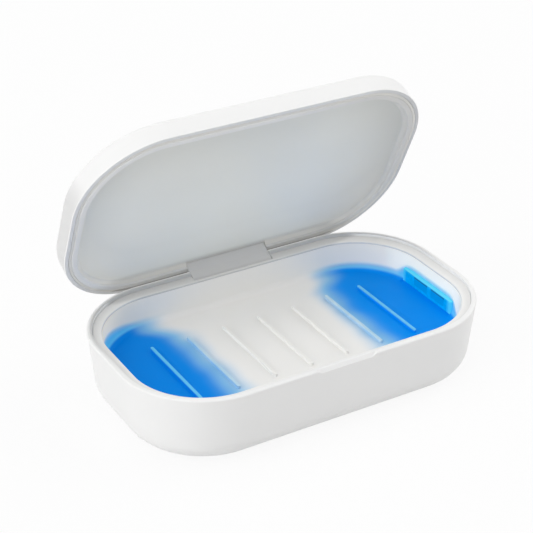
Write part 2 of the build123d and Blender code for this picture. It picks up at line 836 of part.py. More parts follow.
# ---------------------------------------------------------------- tray screws
with BuildPart() as tray_screws:
    with BuildSketch(Plane.XY.offset(tray_screw_seat)):
        with GridLocations(2 * tray_screw_x, 2 * tray_screw_y, 2, 2):
            Circle(tray_screw_radius)
    extrude(amount=boss_joint_height + tray_screw_bite - tray_screw_seat)
    with BuildSketch(Plane.XY.offset(tray_screw_seat)):
        with GridLocations(2 * tray_screw_x, 2 * tray_screw_y, 2, 2):
            Circle(tray_screw_head_radius)
    extrude(amount=-tray_screw_head_height)
    fillet(tray_screws.edges().group_by(Axis.Z)[0], tray_screw_head_height / 4)
    with BuildSketch(Plane.XY.offset(tray_screw_seat - tray_screw_head_height)):
        with GridLocations(2 * tray_screw_x, 2 * tray_screw_y, 2, 2):
            RegularPolygon(drive_radius, 6)
    extrude(amount=drive_depth, mode=Mode.SUBTRACT)
finish(tray_screws, "tray_screws")

# ---------------------------------------------------------------- hinge
with BuildPart() as hinge_pin:
    with BuildSketch(hinge_section):
        Circle(pin_radius)
    extrude(amount=slot_half + ear_width - pin_end_gap, both=True)
    chamfer(hinge_pin.edges(), pin_radius / 5)
finish(hinge_pin, "hinge_pin")

sleeve_radius = pin_radius + pin_clearance + sleeve_wall
with BuildPart() as friction_sleeves:
    for side in (-1, 1):
        with BuildSketch(leaf_section.offset(side * leaf_width / 2)):
            Circle(sleeve_radius)
            Circle(pin_radius + pin_clearance, mode=Mode.SUBTRACT)
        extrude(amount=-side * sleeve_length)
finish(friction_sleeves, "friction_sleeves")

# The leaf: a barrel round the pin, a neck through the slot, a web inside the lid's back wall and a
# flange that is screwed to the lid's roof
leaf_inner = hinge_inset - recess_inset
flange_top = flange_lift + flange_thickness
leaf_screw_y = hinge_y + leaf_inner - flange_reach / 2
neck_angle = degrees(acos(neck_depth / barrel_radius))
with BuildPart() as hinge_leaf:
    with BuildSketch(leaf_section):
        with BuildLine():
            barrel = CenterArc((0, 0), barrel_radius, neck_angle, -(neck_angle + 90 + drum_angle))
            drum = CenterArc((0, 0), drum_radius, -(90 + drum_angle), drum_angle - 90)
            Line(barrel @ 1, drum @ 0)
            Polyline(
                drum @ 1,
                (-drum_radius, drum_rise),
                (leaf_inner, lid_rise + recess_depth),
                (leaf_inner, lid_rise + flange_lift),
                (leaf_inner - flange_reach, lid_rise + flange_lift),
                (leaf_inner - flange_reach, lid_rise + flange_top),
                (-seam, lid_rise + flange_top),
                (-seam, lid_rise - seam / 2),
                (neck_depth, lid_rise - seam / 2),
                barrel @ 0,
            )
        make_face()
    extrude(amount=leaf_width / 2, both=True)
    with BuildSketch(leaf_section):
        Circle(pin_radius + pin_clearance)
    extrude(amount=leaf_width / 2, both=True, mode=Mode.SUBTRACT)
    for side in (-1, 1):
        with BuildSketch(leaf_section.offset(side * leaf_width / 2)):
            Circle(sleeve_radius)
        extrude(amount=-side * sleeve_length, mode=Mode.SUBTRACT)
    with BuildSketch(lid_plane.offset(flange_lift)):
        with Locations((0, leaf_screw_y)):
            with GridLocations(leaf_screw_pitch, 0, 3, 1):
                Circle(leaf_screw_radius + screw_clearance)
    extrude(amount=flange_thickness, mode=Mode.SUBTRACT)
finish(hinge_leaf, "hinge_leaf")

with BuildPart() as leaf_screws:
    with BuildSketch(lid_plane.offset(flange_lift)):
        with Locations((0, leaf_screw_y)):
            with GridLocations(leaf_screw_pitch, 0, 3, 1):
                Circle(leaf_screw_radius)
    extrude(amount=flange_thickness + leaf_screw_bite)
    with BuildSketch(lid_plane.offset(flange_lift)):
        with Locations((0, leaf_screw_y)):
            with GridLocations(leaf_screw_pitch, 0, 3, 1):
                Circle(leaf_screw_head_radius)
    extrude(amount=-leaf_screw_head_height)
    with BuildSketch(lid_plane.offset(flange_lift - leaf_screw_head_height)):
        with Locations((0, leaf_screw_y)):
            with GridLocations(leaf_screw_pitch, 0, 3, 1):
                RegularPolygon(drive_radius, 6)
    extrude(amount=drive_depth, mode=Mode.SUBTRACT)
finish(leaf_screws, "leaf_screws")

# ---------------------------------------------------------------- lid shell
lid_axis = Axis(lid_origin, lid_z)
roof_under = lid_height - lid_top_wall
with BuildPart() as lid_shell:
    with BuildSketch(lid_plane):
        outline(0)
    extrude(amount=lid_height)
    fillet(lid_shell.edges().group_by(lid_axis)[-1], lid_edge_radius)
    fillet(lid_shell.edges().group_by(lid_axis)[0], lid_rim_radius)
    with BuildSketch(lid_plane):
        outline(lid_wall)
    extrude(amount=roof_under, mode=Mode.SUBTRACT)
    # Posts from the roof down to the liner's back
    with BuildSketch(lid_plane.offset(liner_back)):
        with GridLocations(2 * liner_post_x, 2 * liner_post_y, 2, 2):
            Circle(liner_post_radius)
        with GridLocations(2 * liner_post_outer_x, 2 * liner_post_y, 2, 2):
            Circle(liner_post_radius)
    extrude(amount=roof_under + lid_top_wall / 2 - liner_back)
    # Posts for the hinge leaf's screws
    with BuildSketch(lid_plane.offset(flange_top)):
        with Locations((0, leaf_screw_y)):
            with GridLocations(leaf_screw_pitch, 0, 3, 1):
                Circle(leaf_post_radius)
    extrude(amount=roof_under + lid_top_wall / 2 - flange_top)
    with BuildSketch(lid_plane.offset(flange_top)):
        with Locations((0, leaf_screw_y)):
            with GridLocations(leaf_screw_pitch, 0, 3, 1):
                Circle(leaf_screw_radius)
    extrude(amount=leaf_screw_bite + screw_tip_gap, mode=Mode.SUBTRACT)
finish(lid_shell, "lid_shell")

# ---------------------------------------------------------------- lid liner
recess_floor_inset = recess_inset + recess_slope_run
hinge_cut_inset = recess_floor_inset + recess_edge_radius
with BuildPart() as lid_recess:
    with BuildSketch(lid_plane.offset(seal_seat_depth)):
        outline(recess_inset)
    with BuildSketch(lid_plane.offset(recess_depth)):
        outline(recess_floor_inset)
    loft(ruled=True)
    fillet(lid_recess.edges().group_by(lid_axis)[-1], recess_edge_radius)

with BuildPart() as lid_liner:
    with BuildSketch(lid_plane):
        outline(lid_wall + seam)
    extrude(amount=liner_border_thickness)
    with BuildSketch(lid_plane.offset(liner_border_thickness)):
        outline(liner_ring_inset)
    extrude(amount=liner_back - liner_border_thickness)
    with BuildSketch(lid_plane):
        outline(seal_outer_inset)
    extrude(amount=seal_seat_depth, mode=Mode.SUBTRACT)
    add(lid_recess.part, mode=Mode.SUBTRACT)
    # Opening for the hinge leaf, and the recess carried up to it
    with BuildSketch(lid_plane):
        with Locations((0, half_width - (recess_inset + seam) / 2)):
            Rectangle(2 * slot_half, recess_inset + seam)
    extrude(amount=liner_back, mode=Mode.SUBTRACT)
    with BuildSketch(lid_plane):
        with Locations((0, half_width - hinge_cut_inset / 2)):
            Rectangle(2 * slot_half, hinge_cut_inset)
    extrude(amount=recess_depth, mode=Mode.SUBTRACT)
finish(lid_liner, "lid_liner")

with BuildPart() as lid_seal:
    with BuildSketch(lid_plane.offset(-seal_proud)):
        outline(seal_outer_inset + seal_fit)
        with BuildSketch(lid_plane.offset(-seal_proud), mode=Mode.SUBTRACT):
            outline(recess_inset - seal_fit)
    extrude(amount=seal_seat_depth + seal_proud)
    fillet(lid_seal.edges().group_by(lid_axis)[0], seal_edge_radius)
    with BuildSketch(lid_plane.offset(-seal_proud)):
        with Locations((0, half_width - recess_inset / 2)):
            Rectangle(2 * slot_half, recess_inset)
    extrude(amount=seal_seat_depth + seal_proud, mode=Mode.SUBTRACT)
finish(lid_seal, "lid_seal")
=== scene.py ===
"""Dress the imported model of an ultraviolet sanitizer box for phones, and light it in a plain studio.

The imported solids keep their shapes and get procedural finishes. Small details that the solids leave out are
modelled here and ride on the same bodies: the lenses on the LEDs, the legs of the chip, the chip resistors
and the contacts of the inlet. All lengths are in metres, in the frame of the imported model.
"""

import logging
import math
from dataclasses import dataclass, field
from enum import Enum
from functools import reduce
from typing import Any, Callable, Iterable, Sequence

import bmesh
import bpy
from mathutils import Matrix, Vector


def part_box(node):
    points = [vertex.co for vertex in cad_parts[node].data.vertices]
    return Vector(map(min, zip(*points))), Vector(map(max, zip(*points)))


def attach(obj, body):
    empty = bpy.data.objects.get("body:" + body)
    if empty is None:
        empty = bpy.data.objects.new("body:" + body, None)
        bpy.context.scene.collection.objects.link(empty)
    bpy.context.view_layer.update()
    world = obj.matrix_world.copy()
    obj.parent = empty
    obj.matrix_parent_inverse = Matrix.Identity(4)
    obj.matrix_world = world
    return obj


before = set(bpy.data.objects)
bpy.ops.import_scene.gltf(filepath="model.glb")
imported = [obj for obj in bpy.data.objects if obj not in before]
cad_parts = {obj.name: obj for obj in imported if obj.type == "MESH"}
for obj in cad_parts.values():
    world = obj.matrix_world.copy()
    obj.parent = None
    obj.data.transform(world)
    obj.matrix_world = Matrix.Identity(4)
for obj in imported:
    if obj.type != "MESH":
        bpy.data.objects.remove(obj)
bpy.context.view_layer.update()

LOG = logging.getLogger("sanitizer_box")
MM = 0.001

Pair = tuple[float, float]
Triple = tuple[float, float, float]
Colour = Triple
Socket = bpy.types.NodeSocket

BLACK: Colour = (0.0, 0.0, 0.0)
PLASTIC_IOR = 1.49
NOISE_RANGE = (0.2, 0.8)
NOISE_MIDDLE = 0.5
NO_DETAIL = 0.0
FINE_DETAIL = 3.0


# ---------------------------------------------------------------- node graphs
def shade(colour: Colour, factor: float) -> Colour:
    """A colour made lighter or darker by a factor."""
    return (colour[0] * factor, colour[1] * factor, colour[2] * factor)


class Nodes:
    """A node tree, with short ways to add nodes and link them."""

    def __init__(self, tree: bpy.types.NodeTree) -> None:
        """Work on a tree.

        Args:
            tree: The node tree of a material or of the world.
        """
        self.tree = tree

    def add(self, kind: str, **settings: Any) -> bpy.types.Node:
        """Add a node and set its own properties.

        Args:
            kind: The node's type name.
            settings: Properties of the node.

        Returns:
            The new node.
        """
        node = self.tree.nodes.new(kind)
        for key, value in settings.items():
            setattr(node, key, value)
        return node

    def feed(self, socket: Socket, value: Any) -> None:
        """Link a socket to an output, or set it to a constant.

        Args:
            socket: The input to feed.
            value: An output socket, or the constant.
        """
        if isinstance(value, Socket):
            self.tree.links.new(value, socket)
        else:
            socket.default_value = value

    def maths(self, operation: str, first: Any, second: Any = 0.0) -> Socket:
        """Result of a Math node.

        Args:
            operation: The node's operation.
            first: Its first value or socket.
            second: Its second one, where it has two.

        Returns:
            The result's socket.
        """
        node = self.add("ShaderNodeMath", operation=operation)
        self.feed(node.inputs[0], first)
        self.feed(node.inputs[1], second)
        return node.outputs[0]

    def product(self, *factors: Any) -> Socket:
        """The product of two or more numbers."""
        return reduce(lambda first, second: self.maths("MULTIPLY", first, second), factors)

    def gap(self, first: Any, second: Any) -> Socket:
        """How far apart two numbers are."""
        return self.maths("ABSOLUTE", self.maths("SUBTRACT", first, second))

    def mixed(self, factor: Any, first: Any, second: Any) -> Socket:
        """Mix of two shaders.

        Args:
            factor: How much of the second shader.
            first: The first shader's output.
            second: The second shader's output.

        Returns:
            The mixed shader's output.
        """
        node = self.add("ShaderNodeMixShader")
        for socket, value in zip(node.inputs, (factor, first, second)):
            self.feed(socket, value)
        return node.outputs[0]

    def seen_directly(self) -> Socket:
        """Factor that is 1 for rays of the camera, reflections and see-through.

        Returns:
            The factor's socket.
        """
        path = self.add("ShaderNodeLightPath")
        total = path.outputs["Is Camera Ray"]
        for name in ("Is Glossy Ray", "Is Transmission Ray"):
            total = self.maths("MAXIMUM", total, path.outputs[name])
        return total


class NodeGraph(Nodes):
    """A material's node tree, with one Principled shader and Object coordinates at hand."""

    def __init__(self, name: str) -> None:
        """Start an empty graph.

        Args:
            name: The material's name.
        """
        self.material = bpy.data.materials.new(name)
        self.material.use_nodes = True
        super().__init__(self.material.node_tree)
        self.tree.nodes.clear()
        self.output = self.add("ShaderNodeOutputMaterial")
        self.shader = self.add("ShaderNodeBsdfPrincipled")
        self.feed(self.output.inputs["Surface"], self.shader.outputs["BSDF"])
        self.place = self.add("ShaderNodeTexCoord").outputs["Object"]

    def set(self, **inputs: Any) -> None:
        """Set or link inputs of the shader, named in lower case with underscores for spaces.

        Args:
            inputs: The value or socket for each input, by the input's name.
        """
        names = {socket.name.lower().replace(" ", "_"): socket for socket in self.shader.inputs}
        for key, value in inputs.items():
            self.feed(names[key], value)

    def stretched(self, scale: Sequence[float]) -> Socket:
        """Object coordinates scaled along each axis, for stretched patterns.

        Args:
            scale: The factor along X, Y and Z.

        Returns:
            The scaled coordinates' socket.
        """
        node = self.add("ShaderNodeMapping")
        self.feed(node.inputs["Vector"], self.place)
        node.inputs["Scale"].default_value = scale
        return node.outputs["Vector"]

    def noise(self, size: float, detail: float = 2.0, vector: Any = None) -> Socket:
        """Noise from 0 to 1 whose features are about this size.

        Args:
            size: Feature size in metres.
            detail: Octaves of finer noise.
            vector: Coordinates to use instead of the piece's own.

        Returns:
            The noise's factor.
        """
        node = self.add("ShaderNodeTexNoise")
        self.feed(node.inputs["Vector"], self.place if vector is None else vector)
        node.inputs["Scale"].default_value = 1.0 / size
        node.inputs["Detail"].default_value = detail
        return node.outputs["Fac"]

    def cells(self, size: float) -> Socket:
        """Distance to the nearest of a field of scattered points about this far apart.

        Args:
            size: The distance between neighbours, in metres.

        Returns:
            The distance's socket.
        """
        node = self.add("ShaderNodeTexVoronoi")
        self.feed(node.inputs["Vector"], self.place)
        node.inputs["Scale"].default_value = 1.0 / size
        return node.outputs["Distance"]

    def ramp(self, value: Any, low: float, high: float, start: float = 0.0, end: float = 1.0) -> Any:
        """Smooth step of a value between two limits.

        Args:
            value: The socket to remap.
            low: Where the step starts.
            high: Where it ends.
            start: Result at low.
            end: Result at high.

        Returns:
            The remapped value's socket.
        """
        node = self.add("ShaderNodeMapRange", interpolation_type="SMOOTHSTEP")
        for socket, number in zip(node.inputs[:5], (value, low, high, start, end)):
            self.feed(socket, number)
        return node.outputs["Result"]

    def blend(self, factor: Any, first: Any, second: Any, mode: str = "MIX") -> Socket:
        """Mix of two colours.

        Args:
            factor: How much of the second colour.
            first: The first colour or its socket.
            second: The second colour or its socket.
            mode: The node's blend type.

        Returns:
            The mixed colour's socket.
        """
        node = self.add("ShaderNodeMix", data_type="RGBA", blend_type=mode)
        sockets = [socket for socket in node.inputs if socket.type == "RGBA"]
        self.feed(node.inputs["Factor"], factor)
        for socket, colour in zip(sockets, (first, second)):
            self.feed(socket, colour if isinstance(colour, Socket) else (*colour, 1.0))
        return next(socket for socket in node.outputs if socket.type == "RGBA")

    def toned(self, colour: Socket, amount: Any, tone: float | Colour) -> Socket:
        """A colour made darker or lighter by a factor.

        Args:
            colour: The colour's socket.
            amount: How far, from 0 to 1.
            tone: The factor where the amount is 1, one number or one for each channel.

        Returns:
            The changed colour's socket.
        """
        factors = (tone, tone, tone) if isinstance(tone, float) else tone
        return self.blend(amount, colour, factors, "MULTIPLY")

    def clouded(self, cloud: Any, colour: Colour, low: float, high: float) -> Socket:
        """A colour that wanders between two tones of itself as a noise does."""
        return self.blend(cloud, shade(colour, low), shade(colour, high))

    def wander(self, cloud: Any, low: float, high: float) -> Socket:
        """A number that wanders between two values as a noise does."""
        return self.ramp(cloud, *NOISE_RANGE, low, high)

    def around(self, cloud: Any, middle: float, spread: float) -> Socket:
        """A number that wanders this far to both sides of a value as a noise does."""
        return self.wander(cloud, middle - spread, middle + spread)

    def wave(self, letter: str, pitch: float) -> Socket:
        """A sine wave of this pitch, in metres, along one axis."""
        return self.maths("SINE", self.product(self.axis(letter), 2 * math.pi / pitch))

    def axis(self, letter: str) -> Socket:
        """One coordinate of the point being shaded, in metres.

        Args:
            letter: X, Y or Z.

        Returns:
            The coordinate's socket.
        """
        node = self.add("ShaderNodeSeparateXYZ")
        self.feed(node.inputs[0], self.place)
        return node.outputs[letter]

    def bump(self, height: Any, depth: float) -> Socket:
        """Normal of a relief of the given depth in metres.

        Args:
            height: The relief's height, from 0 to 1.
            depth: How deep it goes, in metres.

        Returns:
            The normal's socket.
        """
        node = self.add("ShaderNodeBump")
        node.inputs["Distance"].default_value = depth
        self.feed(node.inputs["Height"], height)
        return node.outputs["Normal"]


@dataclass(frozen=True)
class Outline:
    """The rounded oblong that the tub and the lid share: half its length and width, and its corner radius."""

    half_length: float = 114 * MM
    half_width: float = 67.5 * MM
    corner: float = 51.4 * MM

    def inset(self, graph: NodeGraph, x: Any, y: Any) -> Socket:
        """Distance inwards from the outline.

        Args:
            graph: The graph to add the nodes to.
            x: Place along the length.
            y: Place along the width.

        Returns:
            The distance's socket, in metres.
        """
        squares = []
        for place, half in ((x, self.half_length), (y, self.half_width)):
            past = graph.maths("SUBTRACT", graph.maths("ABSOLUTE", place), half - self.corner)
            kept = graph.maths("MAXIMUM", past, 0.0)
            squares.append(graph.product(kept, kept))
        return graph.maths("SUBTRACT", self.corner, graph.maths("SQRT", graph.maths("ADD", *squares)))


@dataclass(frozen=True)
class LidPlane:
    """The open lid's own directions: its tilt in degrees and the hinge line's Y and Z."""

    tilt: float = 65.0
    hinge: Pair = (65.1 * MM, 39.88 * MM)

    def place(self, graph: NodeGraph) -> Sequence[Socket]:
        """X, Y and Z of the point being shaded, as they are while the lid is shut.

        Args:
            graph: The graph to add the nodes to.

        Returns:
            The sockets of the three coordinates.
        """
        turn = math.radians(self.tilt)
        back, up = self.hinge
        flat = graph.add("ShaderNodeMapping")
        graph.feed(flat.inputs["Vector"], graph.place)
        flat.inputs["Rotation"].default_value = (turn, 0.0, 0.0)
        flat.inputs["Location"].default_value = (
            0.0,
            back - back * math.cos(turn) + up * math.sin(turn),
            up - back * math.sin(turn) - up * math.cos(turn),
        )
        split = graph.add("ShaderNodeSeparateXYZ")
        graph.feed(split.inputs[0], flat.outputs["Vector"])
        return [split.outputs[letter] for letter in "XYZ"]


OUTLINE = Outline()
LID_PLANE = LidPlane()


# ---------------------------------------------------------------- finishes
@dataclass(frozen=True)
class Finish:
    """A named finish, which paints the node graph of its material."""

    name: str

    def build(self) -> bpy.types.Material:
        """Make the material.

        Returns:
            The finished material.
        """
        graph = NodeGraph(self.name)
        self.paint(graph)
        return graph.material

    def paint(self, graph: NodeGraph) -> None:
        """Set the shader's inputs, in each finish's own way."""
        raise NotImplementedError


@dataclass(frozen=True)
class MouldedPlastic(Finish):
    """Injection-moulded plastic with a fine spark-eroded grain and a slightly uneven tone."""

    colour: Colour
    roughness: float = 0.42
    grain: float = 0.35 * MM
    grain_depth: float = 0.008 * MM
    unevenness: float = 0.012
    patch: float = 30 * MM
    gloss_spread: float = 0.04
    gloss_patches: float = 3.0

    def paint(self, graph: NodeGraph) -> None:
        """Give the plastic its tone, its grain and a gloss that varies in smaller patches than the tone.

        Args:
            graph: The graph of its material.
        """
        cloud = graph.noise(self.patch / self.gloss_patches)
        graph.set(
            base_color=self.tone(graph),
            roughness=graph.around(cloud, self.roughness, self.gloss_spread),
            normal=graph.bump(graph.noise(self.grain, FINE_DETAIL), self.grain_depth),
            ior=PLASTIC_IOR,
        )

    def tone(self, graph: NodeGraph) -> Socket:
        """The plastic's slightly uneven colour."""
        return graph.clouded(graph.noise(self.patch), self.colour, 1 - self.unevenness, 1 + self.unevenness)


@dataclass(frozen=True)
class TubPlastic(MouldedPlastic):
    """White plastic of the tub, with painted shade that makes it greyer on the inner side of its lip towards
    the hinge.
    """

    edge: Pair = (1.2 * MM, 2.6 * MM)
    top: Pair = (45.3 * MM, 45.65 * MM)
    behind: Pair = (56.5 * MM, 60.5 * MM)
    lip_height: Pair = (40 * MM, 41 * MM)
    reach: Pair = (-20 * MM, 45 * MM)
    # Share of the white kept where painted shade greys the lip's inner edge.
    edge_shade: float = 0.66

    def tone(self, graph: NodeGraph) -> Socket:
        """The plastic's colour, fading to grey over the lip's inner edge as painted shade.

        Args:
            graph: The graph of its material.

        Returns:
            The colour's socket.
        """
        x, y, z = (graph.axis(letter) for letter in "XYZ")
        # Painted shade: the lip's top and the rear inner wall turn grey over the inner edge, towards the
        # hinge.
        inner = graph.ramp(OUTLINE.inset(graph, x, y), *self.edge)
        rear = graph.product(graph.ramp(y, *self.behind), graph.ramp(z, *self.lip_height))
        raised = graph.maths("MAXIMUM", graph.ramp(z, *self.top), rear)
        amount = graph.product(inner, raised, graph.ramp(y, *self.reach))
        return graph.toned(super().tone(graph), amount, self.edge_shade)


@dataclass(frozen=True)
class LitPlastic(MouldedPlastic):
    """White plastic with the blue light of the LED modules at both ends of the cavity painted on it."""

    # Painted light: whites that make the walls lighter than the floor, and warmer towards the ends to offset
    # the blue light.
    wall_lit_white: Colour = (0.92, 0.905, 0.87)
    end_lit_white: Colour = (0.95, 0.92, 0.85)
    left_white: Colour = (0.95, 0.91, 0.79)
    end_span: Pair = (45 * MM, 98 * MM)
    # Painted light of the modules: blue colours, a blue haze and glows on the floor and walls, and a warm
    # glow near the ends.
    floor_lit_colour: Colour = (0.0, 0.22, 0.72)
    left_floor_lit_colour: Colour = (0.0, 0.19, 0.64)
    floor_glow: Colour = (0.0, 0.05, 0.16)
    haze: Colour = (0.26, 0.52, 0.74)
    wall_lit_colour: Colour = (0.10, 0.46, 0.76)
    wall_glow: Colour = (0.02, 0.11, 0.18)
    spill: Colour = (0.045, 0.03, 0.0)
    end_spill: Colour = (0.14, 0.14, 0.10)
    left_spill: Colour = (0.15, 0.11, 0.06)
    spill_span: Pair = (96 * MM, 103 * MM)
    left_span: Pair = (74 * MM, 94 * MM)
    floor_height: float = 24.0 * MM
    white_climb: float = 4 * MM
    glow_climb: float = 1.5 * MM
    reach: Pair = (32 * MM, 68 * MM)
    drift: float = 10 * MM
    drift_size: float = 26 * MM
    drift_detail: float = 1.0
    back_span: Pair = (36 * MM, 52 * MM)
    back_shift: float = 12 * MM
    middle_span: Pair = (-20 * MM, 20 * MM)
    wall_height: float = 26.2 * MM
    left_height: float = 31.6 * MM
    left_reach: Pair = (66 * MM, 100 * MM)
    end_height: float = 33.0 * MM
    end_reach: Pair = (101 * MM, 105 * MM)
    fade: Pair = (-2.8 * MM, 4.2 * MM)
    haze_wash: Pair = (0.0, 0.6)
    deep_wash: Pair = (0.45, 1.0)
    shine: float = 0.05

    def tone(self, graph: NodeGraph) -> Socket:
        """The plastic's white, with painted light that makes it lightest on the walls and warmer towards the
        ends.

        Args:
            graph: The graph of its material.

        Returns:
            The colour's socket.
        """
        climb = graph.ramp(graph.axis("Z"), self.floor_height, self.floor_height + self.white_climb)
        x = graph.axis("X")
        leftward = graph.product(x, -1.0)
        right = graph.blend(graph.ramp(x, *self.end_span), self.wall_lit_white, self.end_lit_white)
        walls = graph.blend(graph.ramp(leftward, *self.end_span), right, self.left_white)
        return graph.blend(climb, super().tone(graph), walls)

    def nearness(self, graph: NodeGraph) -> Socket:
        """How near the modules a point is, with a wavy edge that draws back along the hinge side.

        Args:
            graph: The graph of its material.

        Returns:
            The socket, 0 in the middle of the cavity and 1 by the modules.
        """
        waves = graph.maths("SUBTRACT", graph.noise(self.drift_size, self.drift_detail), NOISE_MIDDLE)
        drift = graph.product(waves, self.drift)
        retreat = graph.product(graph.ramp(graph.axis("Y"), *self.back_span), self.back_shift)
        along = graph.maths("ADD", graph.maths("ABSOLUTE", graph.axis("X")), drift)
        return graph.ramp(graph.maths("SUBTRACT", along, retreat), *self.reach)

    def paint(self, graph: NodeGraph) -> None:
        """Paint the modules' light on the plastic near them, as a tint and a glow, highest on the end walls.

        Args:
            graph: The graph of its material.
        """
        super().paint(graph)
        x, z = graph.axis("X"), graph.axis("Z")
        leftward = graph.product(x, -1.0)
        near = self.nearness(graph)
        end = graph.ramp(graph.maths("ABSOLUTE", x), *self.end_reach, self.wall_height, self.end_height)
        left = graph.ramp(leftward, *self.left_reach, self.wall_height, self.left_height)
        above = graph.maths("SUBTRACT", z, graph.maths("MAXIMUM", end, left))
        low = graph.ramp(above, *self.fade, 1.0, 0.0)
        wash = graph.product(near, low)
        climb = graph.ramp(z, self.floor_height, self.floor_height + self.glow_climb)
        side = graph.ramp(leftward, *self.middle_span)
        # Painted light: the modules' blue as colour and glow, with a warm glow on the walls near them.
        floor = graph.blend(side, self.floor_lit_colour, self.left_floor_lit_colour)
        tint = graph.blend(climb, floor, self.wall_lit_colour)
        light = graph.blend(climb, self.floor_glow, self.wall_glow)
        hazy = graph.blend(graph.ramp(wash, *self.haze_wash), self.tone(graph), self.haze)
        right = graph.blend(graph.ramp(x, *self.spill_span), self.spill, self.end_spill)
        ends = graph.blend(graph.ramp(leftward, *self.left_span), right, self.left_spill)
        spill = graph.blend(graph.product(near, climb), BLACK, ends)
        graph.set(
            base_color=graph.blend(graph.ramp(wash, *self.deep_wash), hazy, tint),
            emission_color=graph.blend(wash, spill, light),
            emission_strength=1.0,
            specular_ior_level=self.shine,
        )


@dataclass(frozen=True)
class LedgePlastic(MouldedPlastic):
    """White plastic of the ledge, with painted shade that makes it greyer at the foot of the lip, by the
    hinge and down its inner edge.
    """

    # Painted shade: at the foot of the lip, in a line along the inner edge where the tray meets it, and under
    # the lid by the hinge.
    foot_height: float = 43.9 * MM
    slope_height: float = 42.6 * MM
    foot_shade: float = 0.88
    seam: Pair = (42.2 * MM, 42.5 * MM)
    seam_shade: float = 0.84
    behind: Pair = (56.5 * MM, 60.5 * MM)
    lid_shadow_tone: float = 0.77

    def tone(self, graph: NodeGraph) -> Socket:
        """The plastic's colour, with painted shade fading from the foot of the lip to the cavity's edge.

        Args:
            graph: The graph of its material.

        Returns:
            The colour's socket.
        """
        y, z = graph.axis("Y"), graph.axis("Z")
        foot = graph.ramp(z, self.slope_height, self.foot_height)
        slope = graph.toned(super().tone(graph), foot, self.foot_shade)
        level = graph.toned(slope, graph.ramp(z, *self.seam, 1.0, 0.0), self.seam_shade)
        return graph.toned(level, graph.ramp(y, *self.behind), self.lid_shadow_tone)


@dataclass(frozen=True)
class LidPlastic(MouldedPlastic):
    """White plastic of the lid's shell, with painted shade that makes its lip's face greyer, and a painted
    highlight line on the lip's corner.
    """

    # Painted shade on the lip's face, deeper towards the right and the hinge, and on the end walls; a painted
    # highlight on the lip's corner.
    face: Pair = (46.24 * MM, 46.34 * MM)
    corner: Pair = (46.6 * MM, 47.1 * MM)
    face_shade: float = 0.87
    corner_highlight: float = 1.07
    right_side: Pair = (50 * MM, 105 * MM)
    hinge_side: Pair = (35 * MM, 60 * MM)
    far_shade: float = 0.80
    ends: Pair = (108 * MM, 114 * MM)
    end_shade: float = 0.83

    def tone(self, graph: NodeGraph) -> Socket:
        """The plastic's colour, by the height above the lip's face, greyer on the end walls and the lip's
        face with painted shade, with a painted highlight on the lip's corner.

        Args:
            graph: The graph of its material.

        Returns:
            The colour's socket.
        """
        x, y, height = LID_PLANE.place(graph)
        end = graph.ramp(graph.maths("ABSOLUTE", x), *self.ends)
        wall = graph.toned(super().tone(graph), end, self.end_shade)
        side = graph.blend(graph.ramp(height, *self.corner), shade(self.colour, self.corner_highlight), wall)
        low = graph.ramp(height, *self.face, 1.0, 0.0)
        far = graph.maths("MAXIMUM", graph.ramp(x, *self.right_side), graph.ramp(y, *self.hinge_side))
        face = graph.toned(side, low, self.face_shade)
        return graph.toned(face, graph.product(low, far), self.far_shade)


